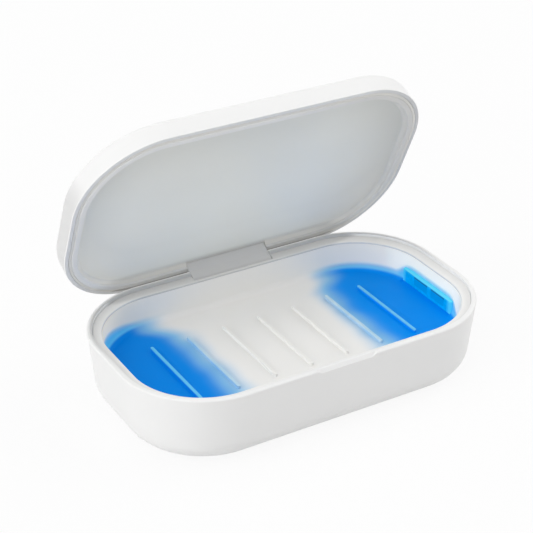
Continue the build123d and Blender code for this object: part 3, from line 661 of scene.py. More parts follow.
@dataclass(frozen=True)
class PanelPlastic(MouldedPlastic):
    """Satin plastic of the liner, with painted light and shade: grey flange, light slope, and a panel that is
    greyer round its border.
    """

    # Painted shade: flange, panel border, hinge band, slit and right side; painted light: slope, lower ends
    # and the half by the hinge.
    flange: Pair = (4.6 * MM, 5.2 * MM)
    flange_shade: float = 0.92
    slope: Pair = (9.3 * MM, 10.2 * MM)
    slope_lit_white: Colour = (0.85, 0.83, 0.775)
    border: Pair = (9.5 * MM, 42 * MM)
    border_shade: float = 0.90
    hinge_side: Pair = (0.0, 40 * MM)
    low_side: Pair = (-20 * MM, 40 * MM)
    low_end: Pair = (20 * MM, 85 * MM)
    low_lit_white: Colour = (0.90, 0.865, 0.765)
    lift: Pair = (-38 * MM, 14 * MM)
    lift_light: float = 1.10
    right_side: Pair = (40 * MM, 100 * MM)
    right_shade: float = 0.84
    hinge_band: Pair = (54 * MM, 58 * MM)
    band_shade: float = 0.80
    slit: Pair = (61.5 * MM, 62.8 * MM)
    slit_shade: float = 0.55

    def panel(self, graph: NodeGraph, x: Any, y: Any, inset: Any) -> Socket:
        """The colour of the flat panel, with painted light that makes it lighter towards the hinge and warmer
        at its lower ends, and painted shade that makes it greyer round its border.

        Args:
            graph: The graph of its material.
            x: Place along the lid.
            y: Place across the lid.
            inset: Distance inwards from the lid's outline.

        Returns:
            The colour's socket.
        """
        end = graph.ramp(graph.maths("ABSOLUTE", x), *self.low_end)
        low = graph.product(end, graph.ramp(y, *self.low_side))
        plain = graph.blend(low, super().tone(graph), self.low_lit_white)
        middle = graph.maths("MAXIMUM", graph.ramp(inset, *self.border), graph.ramp(y, *self.hinge_side))
        bordered = graph.toned(plain, graph.maths("SUBTRACT", 1.0, middle), self.border_shade)
        return graph.toned(bordered, graph.ramp(y, *self.lift), self.lift_light)

    def tone(self, graph: NodeGraph) -> Socket:
        """The plastic's colour, by the distance from the lid's outline in the lid's own plane, with painted
        shade on the flange, the hinge band, the slit and the right side, and painted light on the slope.

        Args:
            graph: The graph of its material.

        Returns:
            The colour's socket.
        """
        x, y, _ = LID_PLANE.place(graph)
        inset = OUTLINE.inset(graph, x, y)
        panel = self.panel(graph, x, y, inset)
        slope = graph.blend(graph.ramp(inset, *self.slope), self.slope_lit_white, panel)
        flange = graph.ramp(inset, *self.flange, 1.0, 0.0)
        edged = graph.toned(slope, flange, self.flange_shade)
        banded = graph.toned(edged, graph.ramp(y, *self.hinge_band), self.band_shade)
        slit = graph.product(flange, graph.ramp(y, *self.slit))
        slitted = graph.toned(banded, slit, self.slit_shade)
        within = graph.product(graph.ramp(x, *self.right_side), graph.ramp(inset, *self.flange))
        return graph.toned(slitted, within, self.right_shade)


@dataclass(frozen=True)
class ClearCapPlastic(Finish):
    """Cap over an LED module: azure on its face, cyan round its edges, with two darker cups behind it,
    glowing with the LEDs' light painted on.
    """

    face: Colour = (0.0, 0.41, 0.93)
    edge: Colour = (0.11, 0.72, 0.98)
    cup: Colour = (0.0, 0.31, 0.76)
    slit: Colour = (0.01, 0.10, 0.24)
    top_edge: Pair = (31.7 * MM, 32.05 * MM)
    end_edge: Pair = (20.5 * MM, 24.5 * MM)
    end_share: float = 0.7
    cup_shift: float = -3.0 * MM
    cup_offset: float = 8.75 * MM
    cup_half: Pair = (7.0 * MM, 2.6 * MM)
    cup_height: float = 28.4 * MM
    cup_side: Pair = (-0.6 * MM, 0.2 * MM)
    cup_brim: float = 0.5 * MM
    slit_rise: float = 0.2 * MM
    slit_half: Pair = (0.25 * MM, 0.5 * MM)
    slit_share: float = 0.85
    mottle_size: float = 2.4 * MM
    mottle_range: Pair = (0.3, 0.75)
    mottle_tones: Pair = (0.88, 1.04)
    # Share of the colour painted on as the glow of the LEDs behind the cap.
    light_share: float = 0.35
    gloss: Pair = (0.10, 0.2)
    shine: float = 0.3

    def cups(self, graph: NodeGraph, across: Any, height: Any) -> tuple[Any, Any]:
        """The two cups that show through the cap, and the dark slits over them.

        Args:
            graph: The graph of its material.
            across: Place along the cap.
            height: Height of the point being shaded.

        Returns:
            How much of a cup and how much of a slit a point shows.
        """
        half_width, half_height = self.cup_half
        before, after = self.cup_side
        away = graph.gap(graph.gap(across, self.cup_shift), self.cup_offset)
        within = graph.ramp(away, half_width + before, half_width + after, 1.0, 0.0)
        drop = graph.gap(height, self.cup_height)
        deep = graph.ramp(drop, half_height - self.cup_brim, half_height, 1.0, 0.0)
        slit_height = self.cup_height + half_height + self.slit_rise
        narrow = graph.ramp(graph.gap(height, slit_height), *self.slit_half, self.slit_share, 0.0)
        return graph.product(within, deep), graph.product(within, narrow)

    def paint(self, graph: NodeGraph) -> None:
        """Colour the cap, partly as plastic and partly as light, over the cups and the slits.

        Args:
            graph: The graph of its material.
        """
        mottle = graph.ramp(graph.noise(self.mottle_size, FINE_DETAIL), *self.mottle_range)
        across, height = graph.axis("Y"), graph.axis("Z")
        top = graph.ramp(height, *self.top_edge)
        end = graph.ramp(graph.maths("ABSOLUTE", across), *self.end_edge, 0.0, self.end_share)
        cups, slits = self.cups(graph, across, height)
        face = graph.clouded(mottle, self.face, *self.mottle_tones)
        behind = graph.blend(slits, graph.blend(cups, face, self.cup), self.slit)
        colour = graph.blend(graph.maths("MAXIMUM", top, end), behind, self.edge)
        graph.set(
            base_color=graph.blend(1.0 - self.light_share, BLACK, colour),
            roughness=graph.ramp(mottle, 0.0, 1.0, *self.gloss),
            specular_ior_level=self.shine,
            ior=PLASTIC_IOR,
            emission_color=graph.blend(self.light_share, BLACK, colour),
            emission_strength=1.0,
        )


@dataclass(frozen=True)
class GlowingFinish(Finish):
    """A surface with an uneven colour and an uneven light of its own."""

    colour: Colour
    glow: Colour
    strength: float = 1.0
    dull_tone: float = 0.97
    dim_tone: float = 0.9

    def light(self, graph: NodeGraph, cloud: Any) -> None:
        """Give the surface its colour and its light.

        Args:
            graph: The graph of its material.
            cloud: The noise that makes both uneven.
        """
        graph.set(
            base_color=graph.clouded(cloud, self.colour, self.dull_tone, 1.0),
            emission_color=graph.clouded(cloud, self.glow, self.dim_tone, 1.0),
            emission_strength=self.strength,
        )


@dataclass(frozen=True)
class MirroredPlastic(GlowingFinish):
    """Vacuum-metallised plastic of the reflectors, with the LEDs' light on them painted on as a glow."""

    mirror: float = 0.8
    gloss: Pair = (0.16, 0.3)
    patch: float = 3 * MM

    def paint(self, graph: NodeGraph) -> None:
        """Give the plastic its mirror coat.

        Args:
            graph: The graph of its material.
        """
        cloud = graph.noise(self.patch)
        self.light(graph, cloud)
        graph.set(metallic=self.mirror, roughness=graph.wander(cloud, *self.gloss))


@dataclass(frozen=True)
class LedPackage(GlowingFinish):
    """Ceramic LED package that glows, slightly unevenly."""

    grain: float = 1.2 * MM
    grain_depth: float = 0.01 * MM
    roughness: float = 0.5

    def paint(self, graph: NodeGraph) -> None:
        """Give the ceramic its grain.

        Args:
            graph: The graph of its material.
        """
        cloud = graph.noise(self.grain, FINE_DETAIL)
        self.light(graph, cloud)
        graph.set(roughness=self.roughness, normal=graph.bump(cloud, self.grain_depth))


@dataclass(frozen=True)
class GlowingPlastic(GlowingFinish):
    """Milky light-guide plastic with a faint light of its own."""

    patch: float = 2 * MM
    gloss: Pair = (0.25, 0.35)
    coat: float = 0.2

    def paint(self, graph: NodeGraph) -> None:
        """Give the plastic its glossy skin.

        Args:
            graph: The graph of its material.
        """
        cloud = graph.noise(self.patch)
        self.light(graph, cloud)
        graph.set(roughness=graph.wander(cloud, *self.gloss), coat_weight=self.coat)


@dataclass(frozen=True)
class Rubber(Finish):
    """Matte silicone rubber with a pebbled or plain skin."""

    colour: Colour
    pebble: float = 0.9 * MM
    pebble_depth: float = 0.05 * MM
    roughness: float = 0.72
    gloss_spread: float = 0.06
    patch: float = 14 * MM
    pebble_edge: Pair = (0.1, 0.7)
    tones: Pair = (0.96, 1.03)
    sheen: float = 0.08

    def paint(self, graph: NodeGraph) -> None:
        """Give the rubber its pebbled skin and its cloudy colour.

        Args:
            graph: The graph of its material.
        """
        pebbles = graph.ramp(graph.cells(self.pebble), *self.pebble_edge)
        cloud = graph.noise(self.patch, FINE_DETAIL)
        graph.set(
            base_color=self.tone(graph, cloud),
            roughness=graph.around(cloud, self.roughness, self.gloss_spread),
            normal=graph.bump(pebbles, self.pebble_depth),
            sheen_weight=self.sheen,
        )

    def tone(self, graph: NodeGraph, cloud: Any) -> Socket:
        """The rubber's cloudy colour."""
        return graph.clouded(cloud, self.colour, *self.tones)


@dataclass(frozen=True)
class SealRubber(Rubber):
    """Smooth rubber of the lid's seal, with painted shade that makes it greyer along the hinge and towards
    the right.
    """

    # Painted shade along the hinge and towards the right end.
    hinge_side: Pair = (50 * MM, 60 * MM)
    hinge_shade: float = 0.76
    right_side: Pair = (0.0, 95 * MM)
    right_shade: Colour = (0.84, 0.83, 0.81)

    def tone(self, graph: NodeGraph, cloud: Any) -> Socket:
        """The rubber's colour, with painted shade fading it towards the hinge and the right end.

        Args:
            graph: The graph of its material.
            cloud: The noise that makes the colour uneven.

        Returns:
            The colour's socket.
        """
        x, y, _ = LID_PLANE.place(graph)
        hinged = graph.toned(super().tone(graph, cloud), graph.ramp(y, *self.hinge_side), self.hinge_shade)
        return graph.toned(hinged, graph.ramp(x, *self.right_side), self.right_shade)


class Lay(Enum):
    """The way a metal's tool marks run, as stretch factors of the noise along X, Y and Z."""

    ALONG_X = (0.04, 1.0, 1.0)
    ALONG_Z = (1.0, 1.0, 0.04)
    NONE = (1.0, 1.0, 1.0)


@dataclass(frozen=True)
class Metal(Finish):
    """Bare or plated metal with fine marks of the tool that made it."""

    colour: Colour
    roughness: float = 0.3
    mark: float = 0.25 * MM
    lay: Lay = Lay.NONE
    mark_depth: float = 0.004 * MM
    gloss_spread: float = 0.07
    tones: Pair = (0.88, 1.06)

    def paint(self, graph: NodeGraph) -> None:
        """Give the metal its tool marks.

        Args:
            graph: The graph of its material.
        """
        marks = graph.noise(self.mark, FINE_DETAIL, graph.stretched(self.lay.value))
        graph.set(
            base_color=graph.clouded(marks, self.colour, *self.tones),
            metallic=1.0,
            roughness=graph.around(marks, self.roughness, self.gloss_spread),
            normal=graph.bump(marks, self.mark_depth),
        )


@dataclass(frozen=True)
class SolderMask(Finish):
    """Circuit board laminate under green solder mask, with tracks showing as faint relief."""

    colour: Colour = (0.02, 0.16, 0.07)
    track: float = 1.3 * MM
    track_depth: float = 0.03 * MM
    track_patch: float = 9 * MM
    track_edge: Pair = (0.1, 0.5)
    patch_edge: Pair = (0.48, 0.52)
    track_tone: float = 1.7
    coat: float = 0.3
    patch: float = 4 * MM
    gloss: Pair = (0.25, 0.36)

    def paint(self, graph: NodeGraph) -> None:
        """Lay the tracks under the mask, in patches.

        Args:
            graph: The graph of its material.
        """
        along = graph.wave("Y", self.track)
        present = graph.ramp(graph.noise(self.track_patch, NO_DETAIL), *self.patch_edge)
        tracks = graph.product(graph.ramp(along, *self.track_edge), present)
        graph.set(
            base_color=graph.clouded(tracks, self.colour, 1.0, self.track_tone),
            roughness=graph.wander(graph.noise(self.patch), *self.gloss),
            normal=graph.bump(tracks, self.track_depth),
            coat_weight=self.coat,
        )


@dataclass(frozen=True)
class RibbonJacket(Finish):
    """Jacket of a flat cable, ribbed by the conductors that run inside it."""

    colour: Colour = (0.80, 0.80, 0.78)
    pitch: float = 1.0 * MM
    rib_depth: float = 0.1 * MM
    across: str = "Y"
    patch: float = 2 * MM
    gloss: Pair = (0.4, 0.5)
    # Share of the colour in the grooves, where painted shade darkens them.
    groove_shade: float = 0.88

    def paint(self, graph: NodeGraph) -> None:
        """Rib the jacket over its conductors, with painted shade darkening the grooves.

        Args:
            graph: The graph of its material.
        """
        cores = graph.ramp(graph.wave(self.across, self.pitch), -1.0, 1.0)
        graph.set(
            base_color=graph.clouded(cores, self.colour, self.groove_shade, 1.0),
            roughness=graph.wander(graph.noise(self.patch), *self.gloss),
            normal=graph.bump(cores, self.rib_depth),
        )


TUB_WHITE = TubPlastic("white_tub_plastic", (0.86, 0.86, 0.855), 0.44)
LID_WHITE = LidPlastic("white_lid_plastic", (0.86, 0.86, 0.855), 0.44)
WHITE_RIM = LedgePlastic("white_rim_plastic", (0.87, 0.865, 0.85), 0.42, grain=0.5 * MM)
WHITE_TRAY = LitPlastic("white_tray_plastic", (0.86, 0.85, 0.83), 0.42, grain=0.6 * MM)
LINER_PANEL = PanelPlastic("pale_liner_plastic", (0.855, 0.855, 0.80), 0.45, unevenness=0.015, patch=45 * MM)
SEAL_SKIN = SealRubber(
    "white_seal_rubber", (0.84, 0.835, 0.82), pebble=0.5 * MM, pebble_depth=0.01 * MM, roughness=0.6
)
# The hinge leaf's grey, darker than the white plastic round it, paints in the shade it sits in under the lid.
HINGE_SHADED_GREY = MouldedPlastic("grey_hinge_plastic", (0.60, 0.60, 0.60), 0.5)
PAD_RUBBER = Rubber("grey_pad_rubber", (0.55, 0.55, 0.56))
CAP_PLASTIC = ClearCapPlastic("clear_cap_plastic")
# The reflectors' glow is the LEDs' light, painted on.
REFLECTOR = MirroredPlastic(
    "mirrored_reflector_plastic",
    (0.30, 0.55, 0.75),
    (0.0, 0.16, 0.50),
    strength=0.8,
    dull_tone=0.9,
    dim_tone=0.8,
)
LED_CERAMIC = LedPackage(
    "led_ceramic", (0.70, 0.72, 0.66), (0.10, 0.50, 1.0), dull_tone=0.92, dim_tone=0.85
)
RING_PLASTIC = GlowingPlastic("milky_ring_plastic", (0.82, 0.90, 0.95), (0.35, 0.65, 1.0), strength=0.35)
LENS_SILICONE = GlowingPlastic("led_lens_silicone", (0.55, 0.80, 0.95), (0.25, 0.65, 1.0))
BUTTON_WHITE = MouldedPlastic("white_button_plastic", (0.87, 0.87, 0.87), 0.28, unevenness=0.008)
BOARD_GREEN = SolderMask("green_board_laminate")
BLACK_RESIN = MouldedPlastic(
    "black_component_resin", (0.018, 0.018, 0.02), 0.55, grain=0.2 * MM, unevenness=0.1
)
IVORY_NYLON = MouldedPlastic(
    "ivory_connector_nylon", (0.72, 0.68, 0.56), 0.5, grain=0.2 * MM, unevenness=0.04
)
CAN_METAL = Metal("capacitor_can_metal", (0.78, 0.79, 0.80), 0.32, lay=Lay.ALONG_Z)
SCREW_STEEL = Metal("zinc_plated_steel", (0.62, 0.63, 0.65), 0.28)
PIN_STEEL = Metal("ground_pin_steel", (0.60, 0.60, 0.61), 0.2, lay=Lay.ALONG_X)
MAGNET_NICKEL = Metal("nickel_plate", (0.68, 0.66, 0.62), 0.18)
SLEEVE_BRASS = Metal("sleeve_brass", (0.78, 0.57, 0.25), 0.3, lay=Lay.ALONG_X)
CONTACT_GOLD = Metal("gold_contact_plate", (0.95, 0.70, 0.32), 0.22)
CABLE_JACKET = RibbonJacket("led_cable_jacket")
SENSOR_JACKET = RibbonJacket("sensor_cable_jacket", across="X")


class FinishRack:
    """Every finish as a material, each made once."""

    def __init__(self) -> None:
        """Start with no material made."""
        self.made: dict[str, bpy.types.Material] = {}

    def material(self, finish: Finish) -> bpy.types.Material:
        """The material of a finish, made on first use.

        Args:
            finish: One of the finishes above.

        Returns:
            Its material.
        """
        if finish.name not in self.made:
            self.made[finish.name] = finish.build()
        return self.made[finish.name]


RACK = FinishRack()


def dress(pieces: dict[str, Finish]) -> None:
    """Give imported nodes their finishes.

    Args:
        pieces: Node name to finish.
    """
    for name, finish in pieces.items():
        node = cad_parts[name]
        node.data.materials.clear()
        node.data.materials.append(RACK.material(finish))
        LOG.info("dressed %s in %s", name, finish.name)


# ---------------------------------------------------------------- modelling by hand
SMOOTH_ANGLE = math.radians(35)
FACING = 0.9
ROUND_SEGMENTS = 2


class Workpiece:
    """A new mesh piece, started from a primitive and shaped in edit mode."""

    def __init__(self, name: str, add: Callable[..., Any], **settings: Any) -> None:
        """Add the primitive.

        Args:
            name: The piece's name.
            add: The primitive's operator.
            settings: The operator's settings.
        """
        bpy.ops.object.select_all(action="DESELECT")
        add(**settings)
        self.object = bpy.context.object
        self.object.name = name
        self.object.data.name = name

    def select(self, others: Iterable[bpy.types.Object] = ()) -> None:
        """Select the piece alone or with others, and make it the active one.

        Args:
            others: Objects to select with it.
        """
        bpy.ops.object.select_all(action="DESELECT")
        for other in (*others, self.object):
            other.select_set(True)
        bpy.context.view_layer.objects.active = self.object

    def place(self) -> None:
        """Move the piece's place, turn and size into its mesh."""
        self.select()
        bpy.ops.object.transform_apply(location=True, rotation=True, scale=True)

    def edit(self, pick: Callable[[bmesh.types.BMFace], bool], action: Callable[[], Any]) -> None:
        """Run an edit-mode operator on the picked faces.

        Args:
            pick: Tells for a face whether it is selected.
            action: Calls the operator.
        """
        self.select()
        bpy.ops.object.mode_set(mode="EDIT")
        bpy.ops.mesh.select_mode(type="FACE")
        bpy.ops.mesh.select_all(action="DESELECT")
        mesh = bmesh.from_edit_mesh(self.object.data)
        for face in mesh.faces:
            face.select_set(pick(face))
        bmesh.update_edit_mesh(self.object.data)
        action()
        bpy.ops.object.mode_set(mode="OBJECT")

    def bevel(self, width: float) -> None:
        """Round every edge by a Bevel modifier that is applied at once.

        Args:
            width: The round's width, in metres.
        """
        modifier = self.object.modifiers.new("edge_round", "BEVEL")
        modifier.width = width
        modifier.segments = ROUND_SEGMENTS
        bpy.context.view_layer.objects.active = self.object
        bpy.ops.object.modifier_apply(modifier=modifier.name)

    def copies(self, offsets: Iterable[Sequence[float]]) -> None:
        """Join copies of the piece, each with its own mesh, moved by the offsets.

        Args:
            offsets: Each copy's place from the piece, in metres.
        """
        twins = []
        for offset in offsets:
            twin = self.object.copy()
            twin.data = self.object.data.copy()
            twin.location = Vector(offset)
            bpy.context.collection.objects.link(twin)
            twins.append(twin)
        self.select(twins)
        bpy.ops.object.join()

    def done(self, finish: Finish, body: str, slot: str) -> None:
        """Smooth, finish and attach the piece.

        Args:
            finish: Its finish.
            body: The body it rides on.
            slot: The record's material slot it stands for; not used.
        """
        self.place()
        bpy.ops.object.shade_smooth_by_angle(angle=SMOOTH_ANGLE)
        self.object.data.materials.clear()
        self.object.data.materials.append(RACK.material(finish))
        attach(self.object, body)
        LOG.info("built %s, %d faces", self.object.name, len(self.object.data.polygons))


def block(name: str, place: Sequence[float], size: Sequence[float]) -> Workpiece:
    """A rectangular block, ready to be shaped.

    Args:
        name: The piece's name.
        place: Its centre.
        size: Its length along X, Y and Z.

    Returns:
        The block.
    """
    piece = Workpiece(name, bpy.ops.mesh.primitive_cube_add, size=1.0, location=place, scale=size)
    piece.place()
    return piece


def row(pitch: float, count: int) -> list[Triple]:
    """Offsets of the copies that make a piece a row along Y.

    Args:
        pitch: The distance between neighbours.
        count: How many there are with the first.

    Returns:
        The offsets.
    """
    return [(0.0, step * pitch, 0.0) for step in range(1, count)]


# ---------------------------------------------------------------- sub-assemblies
@dataclass
class Tub:
    """The outer base, its anti-slip pad and the rim frame round the cavity."""

    finishes: dict[str, Finish] = field(
        default_factory=lambda: {"base_shell": TUB_WHITE, "base_pad": PAD_RUBBER, "rim_frame": WHITE_RIM}
    )

    def build(self) -> None:
        """Dress the tub."""
        dress(self.finishes)


@dataclass
class Cavity:
    """The tray and the LED module at each of its ends."""

    lens_radius: float = 1.35 * MM
    lens_height: float = 0.85 * MM
    lens_segments: int = 24
    lens_rings: int = 12
    slack: float = 0.1 * MM
    edge_digits: int = 5

    def build(self) -> None:
        """Dress the tray and the modules, and give each LED its lens."""
        dress({"inner_tray": WHITE_TRAY})
        for side, sign in (("left", -1), ("right", 1)):
            dress(
                {
                    f"led_window_{side}": CAP_PLASTIC,
                    f"led_reflector_{side}": REFLECTOR,
                    f"led_board_{side}": BOARD_GREEN,
                    f"uv_leds_{side}": LED_CERAMIC,
                }
            )
            self.add_lenses(side, sign)

    def led_centres(self, side: str) -> list[Vector]:
        """Centre of each LED package's front face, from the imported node's corners.

        Args:
            side: left or right.

        Returns:
            The centres, from front to back.
        """
        low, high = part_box(f"uv_leds_{side}")
        size = high.z - low.z
        front = low.x if side == "right" else high.x
        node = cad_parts[f"uv_leds_{side}"]
        edges = sorted({round(vertex.co.y, self.edge_digits) for vertex in node.data.vertices})
        centres: list[Vector] = []
        reached = edges[0] - self.slack
        for start in edges:
            if start > reached and any(abs(start + size - other) < self.slack for other in edges):
                centres.append(Vector((front, start + size / 2, (low.z + high.z) / 2)))
                reached = start + size + self.slack
        return centres

    def add_lenses(self, side: str, sign: int) -> None:
        """Model one domed lens and copy it onto every LED of a module.

        Args:
            side: left or right.
            sign: -1 on the left, 1 on the right.
        """
        centres = self.led_centres(side)
        lens = Workpiece(
            f"led_lenses_{side}",
            bpy.ops.mesh.primitive_uv_sphere_add,
            segments=self.lens_segments,
            ring_count=self.lens_rings,
            radius=self.lens_radius,
            location=centres[0],
            rotation=(0.0, -sign * math.pi / 2, 0.0),
            scale=(1.0, 1.0, self.lens_height / self.lens_radius),
        )
        lens.place()
        lens.edit(
            lambda face: True,
            lambda: bpy.ops.mesh.bisect(
                plane_co=centres[0],
                plane_no=(sign, 0.0, 0.0),
                use_fill=True,
                clear_outer=True,
            ),
        )
        lens.copies([centre - centres[0] for centre in centres[1:]])
        lens.done(LENS_SILICONE, "base", "clear_cap")


@dataclass
class ControlBoard:
    """The control board with its parts and flat cables, the lid sensor and the tub's magnets and screws."""

    leg_size: Triple = (0.9 * MM, 0.28 * MM, 0.5 * MM)
    leg_pitch: float = 0.8 * MM
    legs_per_side: int = 8
    leg_round: float = 0.04 * MM
    foot_share: float = 0.35
    chip_resistor: Triple = (1.6 * MM, 0.8 * MM, 0.5 * MM)
    resistor_gap: float = 6 * MM
    resistor_pitch: Pair = (2.6 * MM, 1.7 * MM)
    resistor_grid: tuple[int, int] = (2, 4)
    resistor_round: float = 0.05 * MM
    cap_inset: float = 0.08 * MM
    cap_depth: float = 0.12 * MM

    def build(self) -> None:
        """Dress them all, and add the chip's legs and the small chip resistors."""
        dress(
            {
                "main_board": BOARD_GREEN,
                "board_screws": SCREW_STEEL,
                "controller_chip": BLACK_RESIN,
                "boost_inductor": BLACK_RESIN,
                "capacitors": CAN_METAL,
                "cable_connectors": IVORY_NYLON,
                "tact_switch": BLACK_RESIN,
                "indicator_led": LED_CERAMIC,
                "led_cable_left": CABLE_JACKET,
                "led_cable_right": CABLE_JACKET,
                "sensor_cable": SENSOR_JACKET,
                "lid_sensor": BLACK_RESIN,
                "base_magnets": MAGNET_NICKEL,
                "tray_screws": SCREW_STEEL,
            }
        )
        self.add_chip_legs()
        self.add_resistors()

    def leg_row(self, name: str, start: Vector, outward: int) -> None:
        """Model one leg with a thin foot and copy it along the chip's side.

        Args:
            name: The piece's name.
            start: The first leg's centre.
            outward: -1 for the chip's left side, 1 for its right.
        """
        leg = block(name, start, self.leg_size)
        bottom = start.z - self.leg_size[2] / 2
        leg.edit(
            lambda face: outward * face.normal.x > FACING,
            lambda: bpy.ops.transform.resize(
                value=(1.0, 1.0, self.foot_share),
                center_override=(start.x, start.y, bottom),
                orient_type="GLOBAL",
            ),
        )
        leg.bevel(self.leg_round)
        leg.copies(row(self.leg_pitch, self.legs_per_side))
        leg.done(SCREW_STEEL, "base", "steel")

    def add_chip_legs(self) -> None:
        """Give the controller chip a row of legs on each long side."""
        low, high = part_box("controller_chip")
        length, _, height = self.leg_size
        span = (self.legs_per_side - 1) * self.leg_pitch
        first, middle = (low.y + high.y - span) / 2, low.z + height / 2
        self.leg_row("controller_chip_legs", Vector((low.x - length / 2, first, middle)), -1)
        self.leg_row("controller_chip_legs_far", Vector((high.x + length / 2, first, middle)), 1)

    def add_resistors(self) -> None:
        """Model one chip resistor with raised ends and copy it in rows beside the chip."""
        low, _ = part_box("controller_chip")
        height = self.chip_resistor[2]
        corner = Vector((low.x - self.resistor_gap, low.y, low.z + height / 2))
        chip = block("chip_resistors", corner, self.chip_resistor)
        chip.edit(
            lambda face: abs(face.normal.x) > FACING,
            lambda: bpy.ops.mesh.inset(thickness=self.cap_inset, depth=self.cap_depth),
        )
        chip.bevel(self.resistor_round)
        columns, rows = self.resistor_grid
        wide, deep = self.resistor_pitch
        places = [(column * wide, line * deep, 0.0) for column in range(columns) for line in range(rows)]
        chip.copies(places[1:])
        chip.done(BLACK_RESIN, "base", "black_plastic")


@dataclass
class Inlet:
    """The USB-C inlet in the right end wall."""

    contact_pitch: float = 0.5 * MM
    contact_count: int = 12
    contact_size: Triple = (3.6 * MM, 0.26 * MM, 0.06 * MM)
    contact_round: float = 0.02 * MM
    contact_height: float = 0.35 * MM
    tip_gap: float = 0.6 * MM

    def build(self) -> None:
        """Dress the socket and lay the gold contacts on both faces of its tongue."""
        dress({"usb_socket": SCREW_STEEL, "usb_tongue": BLACK_RESIN})
        low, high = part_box("usb_tongue")
        middle_y, middle_z = (low.y + high.y) / 2, (low.z + high.z) / 2
        tip = high.x - self.tip_gap - self.contact_size[0] / 2
        span = (self.contact_count - 1) * self.contact_pitch
        for side, sign in (("upper", 1), ("lower", -1)):
            place = (tip, middle_y - span / 2, middle_z + sign * self.contact_height)
            strip = block(f"inlet_contacts_{side}", place, self.contact_size)
            strip.bevel(self.contact_round)
            strip.copies(row(self.contact_pitch, self.contact_count))
            strip.done(CONTACT_GOLD, "base", "steel")


@dataclass
class PushButton:
    """The power button, its light ring and the plunger of the switch behind it."""

    finishes: dict[str, Finish] = field(
        default_factory=lambda: {
            "power_button": BUTTON_WHITE,
            "indicator_ring": RING_PLASTIC,
            "switch_plunger": IVORY_NYLON,
        }
    )

    def build(self) -> None:
        """Dress the button."""
        dress(self.finishes)


@dataclass
class Lid:
    """The lid's shell, liner, seal and magnets, and the hinge that carries it."""

    finishes: dict[str, Finish] = field(
        default_factory=lambda: {
            "lid_shell": LID_WHITE,
            "lid_liner": LINER_PANEL,
            "lid_seal": SEAL_SKIN,
            "lid_magnets": MAGNET_NICKEL,
            "sensor_magnet": MAGNET_NICKEL,
            "hinge_leaf": HINGE_SHADED_GREY,
            "hinge_pin": PIN_STEEL,
            "friction_sleeves": SLEEVE_BRASS,
            "leaf_screws": SCREW_STEEL,
        }
    )

    def build(self) -> None:
        """Dress the lid and the hinge."""
        dress(self.finishes)


# ---------------------------------------------------------------- studio
@dataclass(frozen=True)
class Lamp:
    """A distant soft lamp: its name, where it shines from, its strength and its width in degrees."""

    name: str
    shines_from: Triple
    strength: float
    softness: float = 60.0
    height: float = 2.0

    def hang(self) -> None:
        """Add the lamp to the scene."""
        bpy.ops.object.light_add(type="SUN", location=(0.0, 0.0, self.height))
        lamp = bpy.context.object
        lamp.name = self.name
        lamp.rotation_mode = "QUATERNION"
        lamp.rotation_quaternion = Vector(self.shines_from).normalized().to_track_quat("Z", "Y")
        lamp.data.energy = self.strength
        lamp.data.angle = math.radians(self.softness)


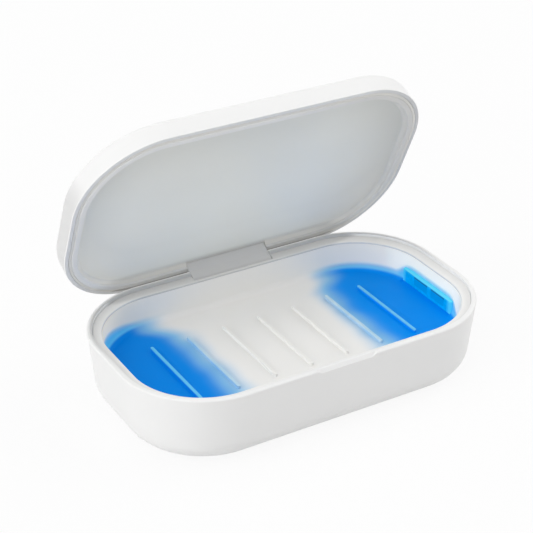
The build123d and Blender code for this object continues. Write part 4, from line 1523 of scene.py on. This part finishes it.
@dataclass
class Studio:
    """Pale floor, soft daylight and the camera."""

    target: Triple = (-12.374 * MM, 0.0, 77.01 * MM)
    azimuth: float = -30.385
    elevation: float = 28.94
    distance: float = 878.36 * MM
    lens: float = 104.3
    sensor_width: float = 36.0
    clip: Pair = (0.01, 50.0)
    lamps: tuple[Lamp, ...] = (
        Lamp("soft_key", (-0.44, -0.12, 0.30), 1.72),
        Lamp("soft_fill", (0.36, -0.06, 0.18), 1.28),
        Lamp("soft_top", (0.0, 0.10, 0.26), 0.82),
    )
    sky_strength: float = 0.30
    floor_size: float = 12.0
    floor_drop: float = 0.05 * MM
    floor_grey: float = 0.85
    floor_white: float = 0.9

    def build(self) -> None:
        """Set up the camera, the lights and the floor."""
        self.place_camera()
        self.light_sky()
        for lamp in self.lamps:
            lamp.hang()
        self.lay_floor()
        bpy.context.scene.view_settings.view_transform = "Standard"

    def place_camera(self) -> None:
        """Aim the camera at the box."""
        turn, tilt = math.radians(self.azimuth), math.radians(self.elevation)
        back = Vector((math.sin(turn) * math.cos(tilt), -math.cos(turn) * math.cos(tilt), math.sin(tilt)))
        bpy.ops.object.camera_add(location=Vector(self.target) + back * self.distance)
        camera = bpy.context.object
        camera.name = "studio_camera"
        camera.rotation_mode = "QUATERNION"
        camera.rotation_quaternion = (-back).to_track_quat("-Z", "Y")
        camera.data.lens = self.lens
        camera.data.sensor_width = self.sensor_width
        camera.data.clip_start, camera.data.clip_end = self.clip
        bpy.context.scene.camera = camera

    def light_sky(self) -> None:
        """White surroundings that look white and light the box more gently than they look."""
        world = bpy.data.worlds.new("pale_studio")
        bpy.context.scene.world = world
        world.use_nodes = True
        nodes = Nodes(world.node_tree)
        background = nodes.tree.nodes["Background"]
        background.inputs["Color"].default_value = (1.0, 1.0, 1.0, 1.0)
        strength = nodes.add("ShaderNodeMapRange")
        nodes.feed(strength.inputs["Value"], nodes.seen_directly())
        nodes.feed(strength.inputs["To Min"], self.sky_strength)
        nodes.feed(strength.inputs["To Max"], 1.0)
        nodes.feed(background.inputs["Strength"], strength.outputs["Result"])

    def lay_floor(self) -> None:
        """A plain white floor that keeps a faint shadow and doesn't hide the underside."""
        bpy.ops.object.select_all(action="DESELECT")
        bpy.ops.mesh.primitive_plane_add(size=self.floor_size, location=(0.0, 0.0, -self.floor_drop))
        floor = bpy.context.object
        floor.name = "studio_floor"
        bpy.ops.object.transform_apply(location=True, rotation=True, scale=True)
        material = bpy.data.materials.new("studio_floor_paint")
        material.use_nodes = True
        nodes = Nodes(material.node_tree)
        nodes.tree.nodes.clear()
        paint = nodes.add("ShaderNodeBsdfDiffuse")
        paint.inputs["Color"].default_value = (self.floor_grey,) * 3 + (1.0,)
        white = nodes.add("ShaderNodeEmission")
        shown = nodes.product(nodes.seen_directly(), self.floor_white)
        above = nodes.mixed(shown, paint.outputs[0], white.outputs[0])
        below = nodes.add("ShaderNodeBsdfTransparent").outputs[0]
        side = nodes.add("ShaderNodeNewGeometry").outputs["Backfacing"]
        output = nodes.add("ShaderNodeOutputMaterial")
        nodes.feed(output.inputs["Surface"], nodes.mixed(side, above, below))
        floor.data.materials.append(material)


def main() -> None:
    """Build every sub-assembly and the studio."""
    logging.basicConfig(level=logging.INFO, format="%(message)s")
    Studio().build()
    for part in (Tub(), Cavity(), ControlBoard(), Inlet(), PushButton(), Lid()):
        part.build()


if __name__ == "__main__":
    main()
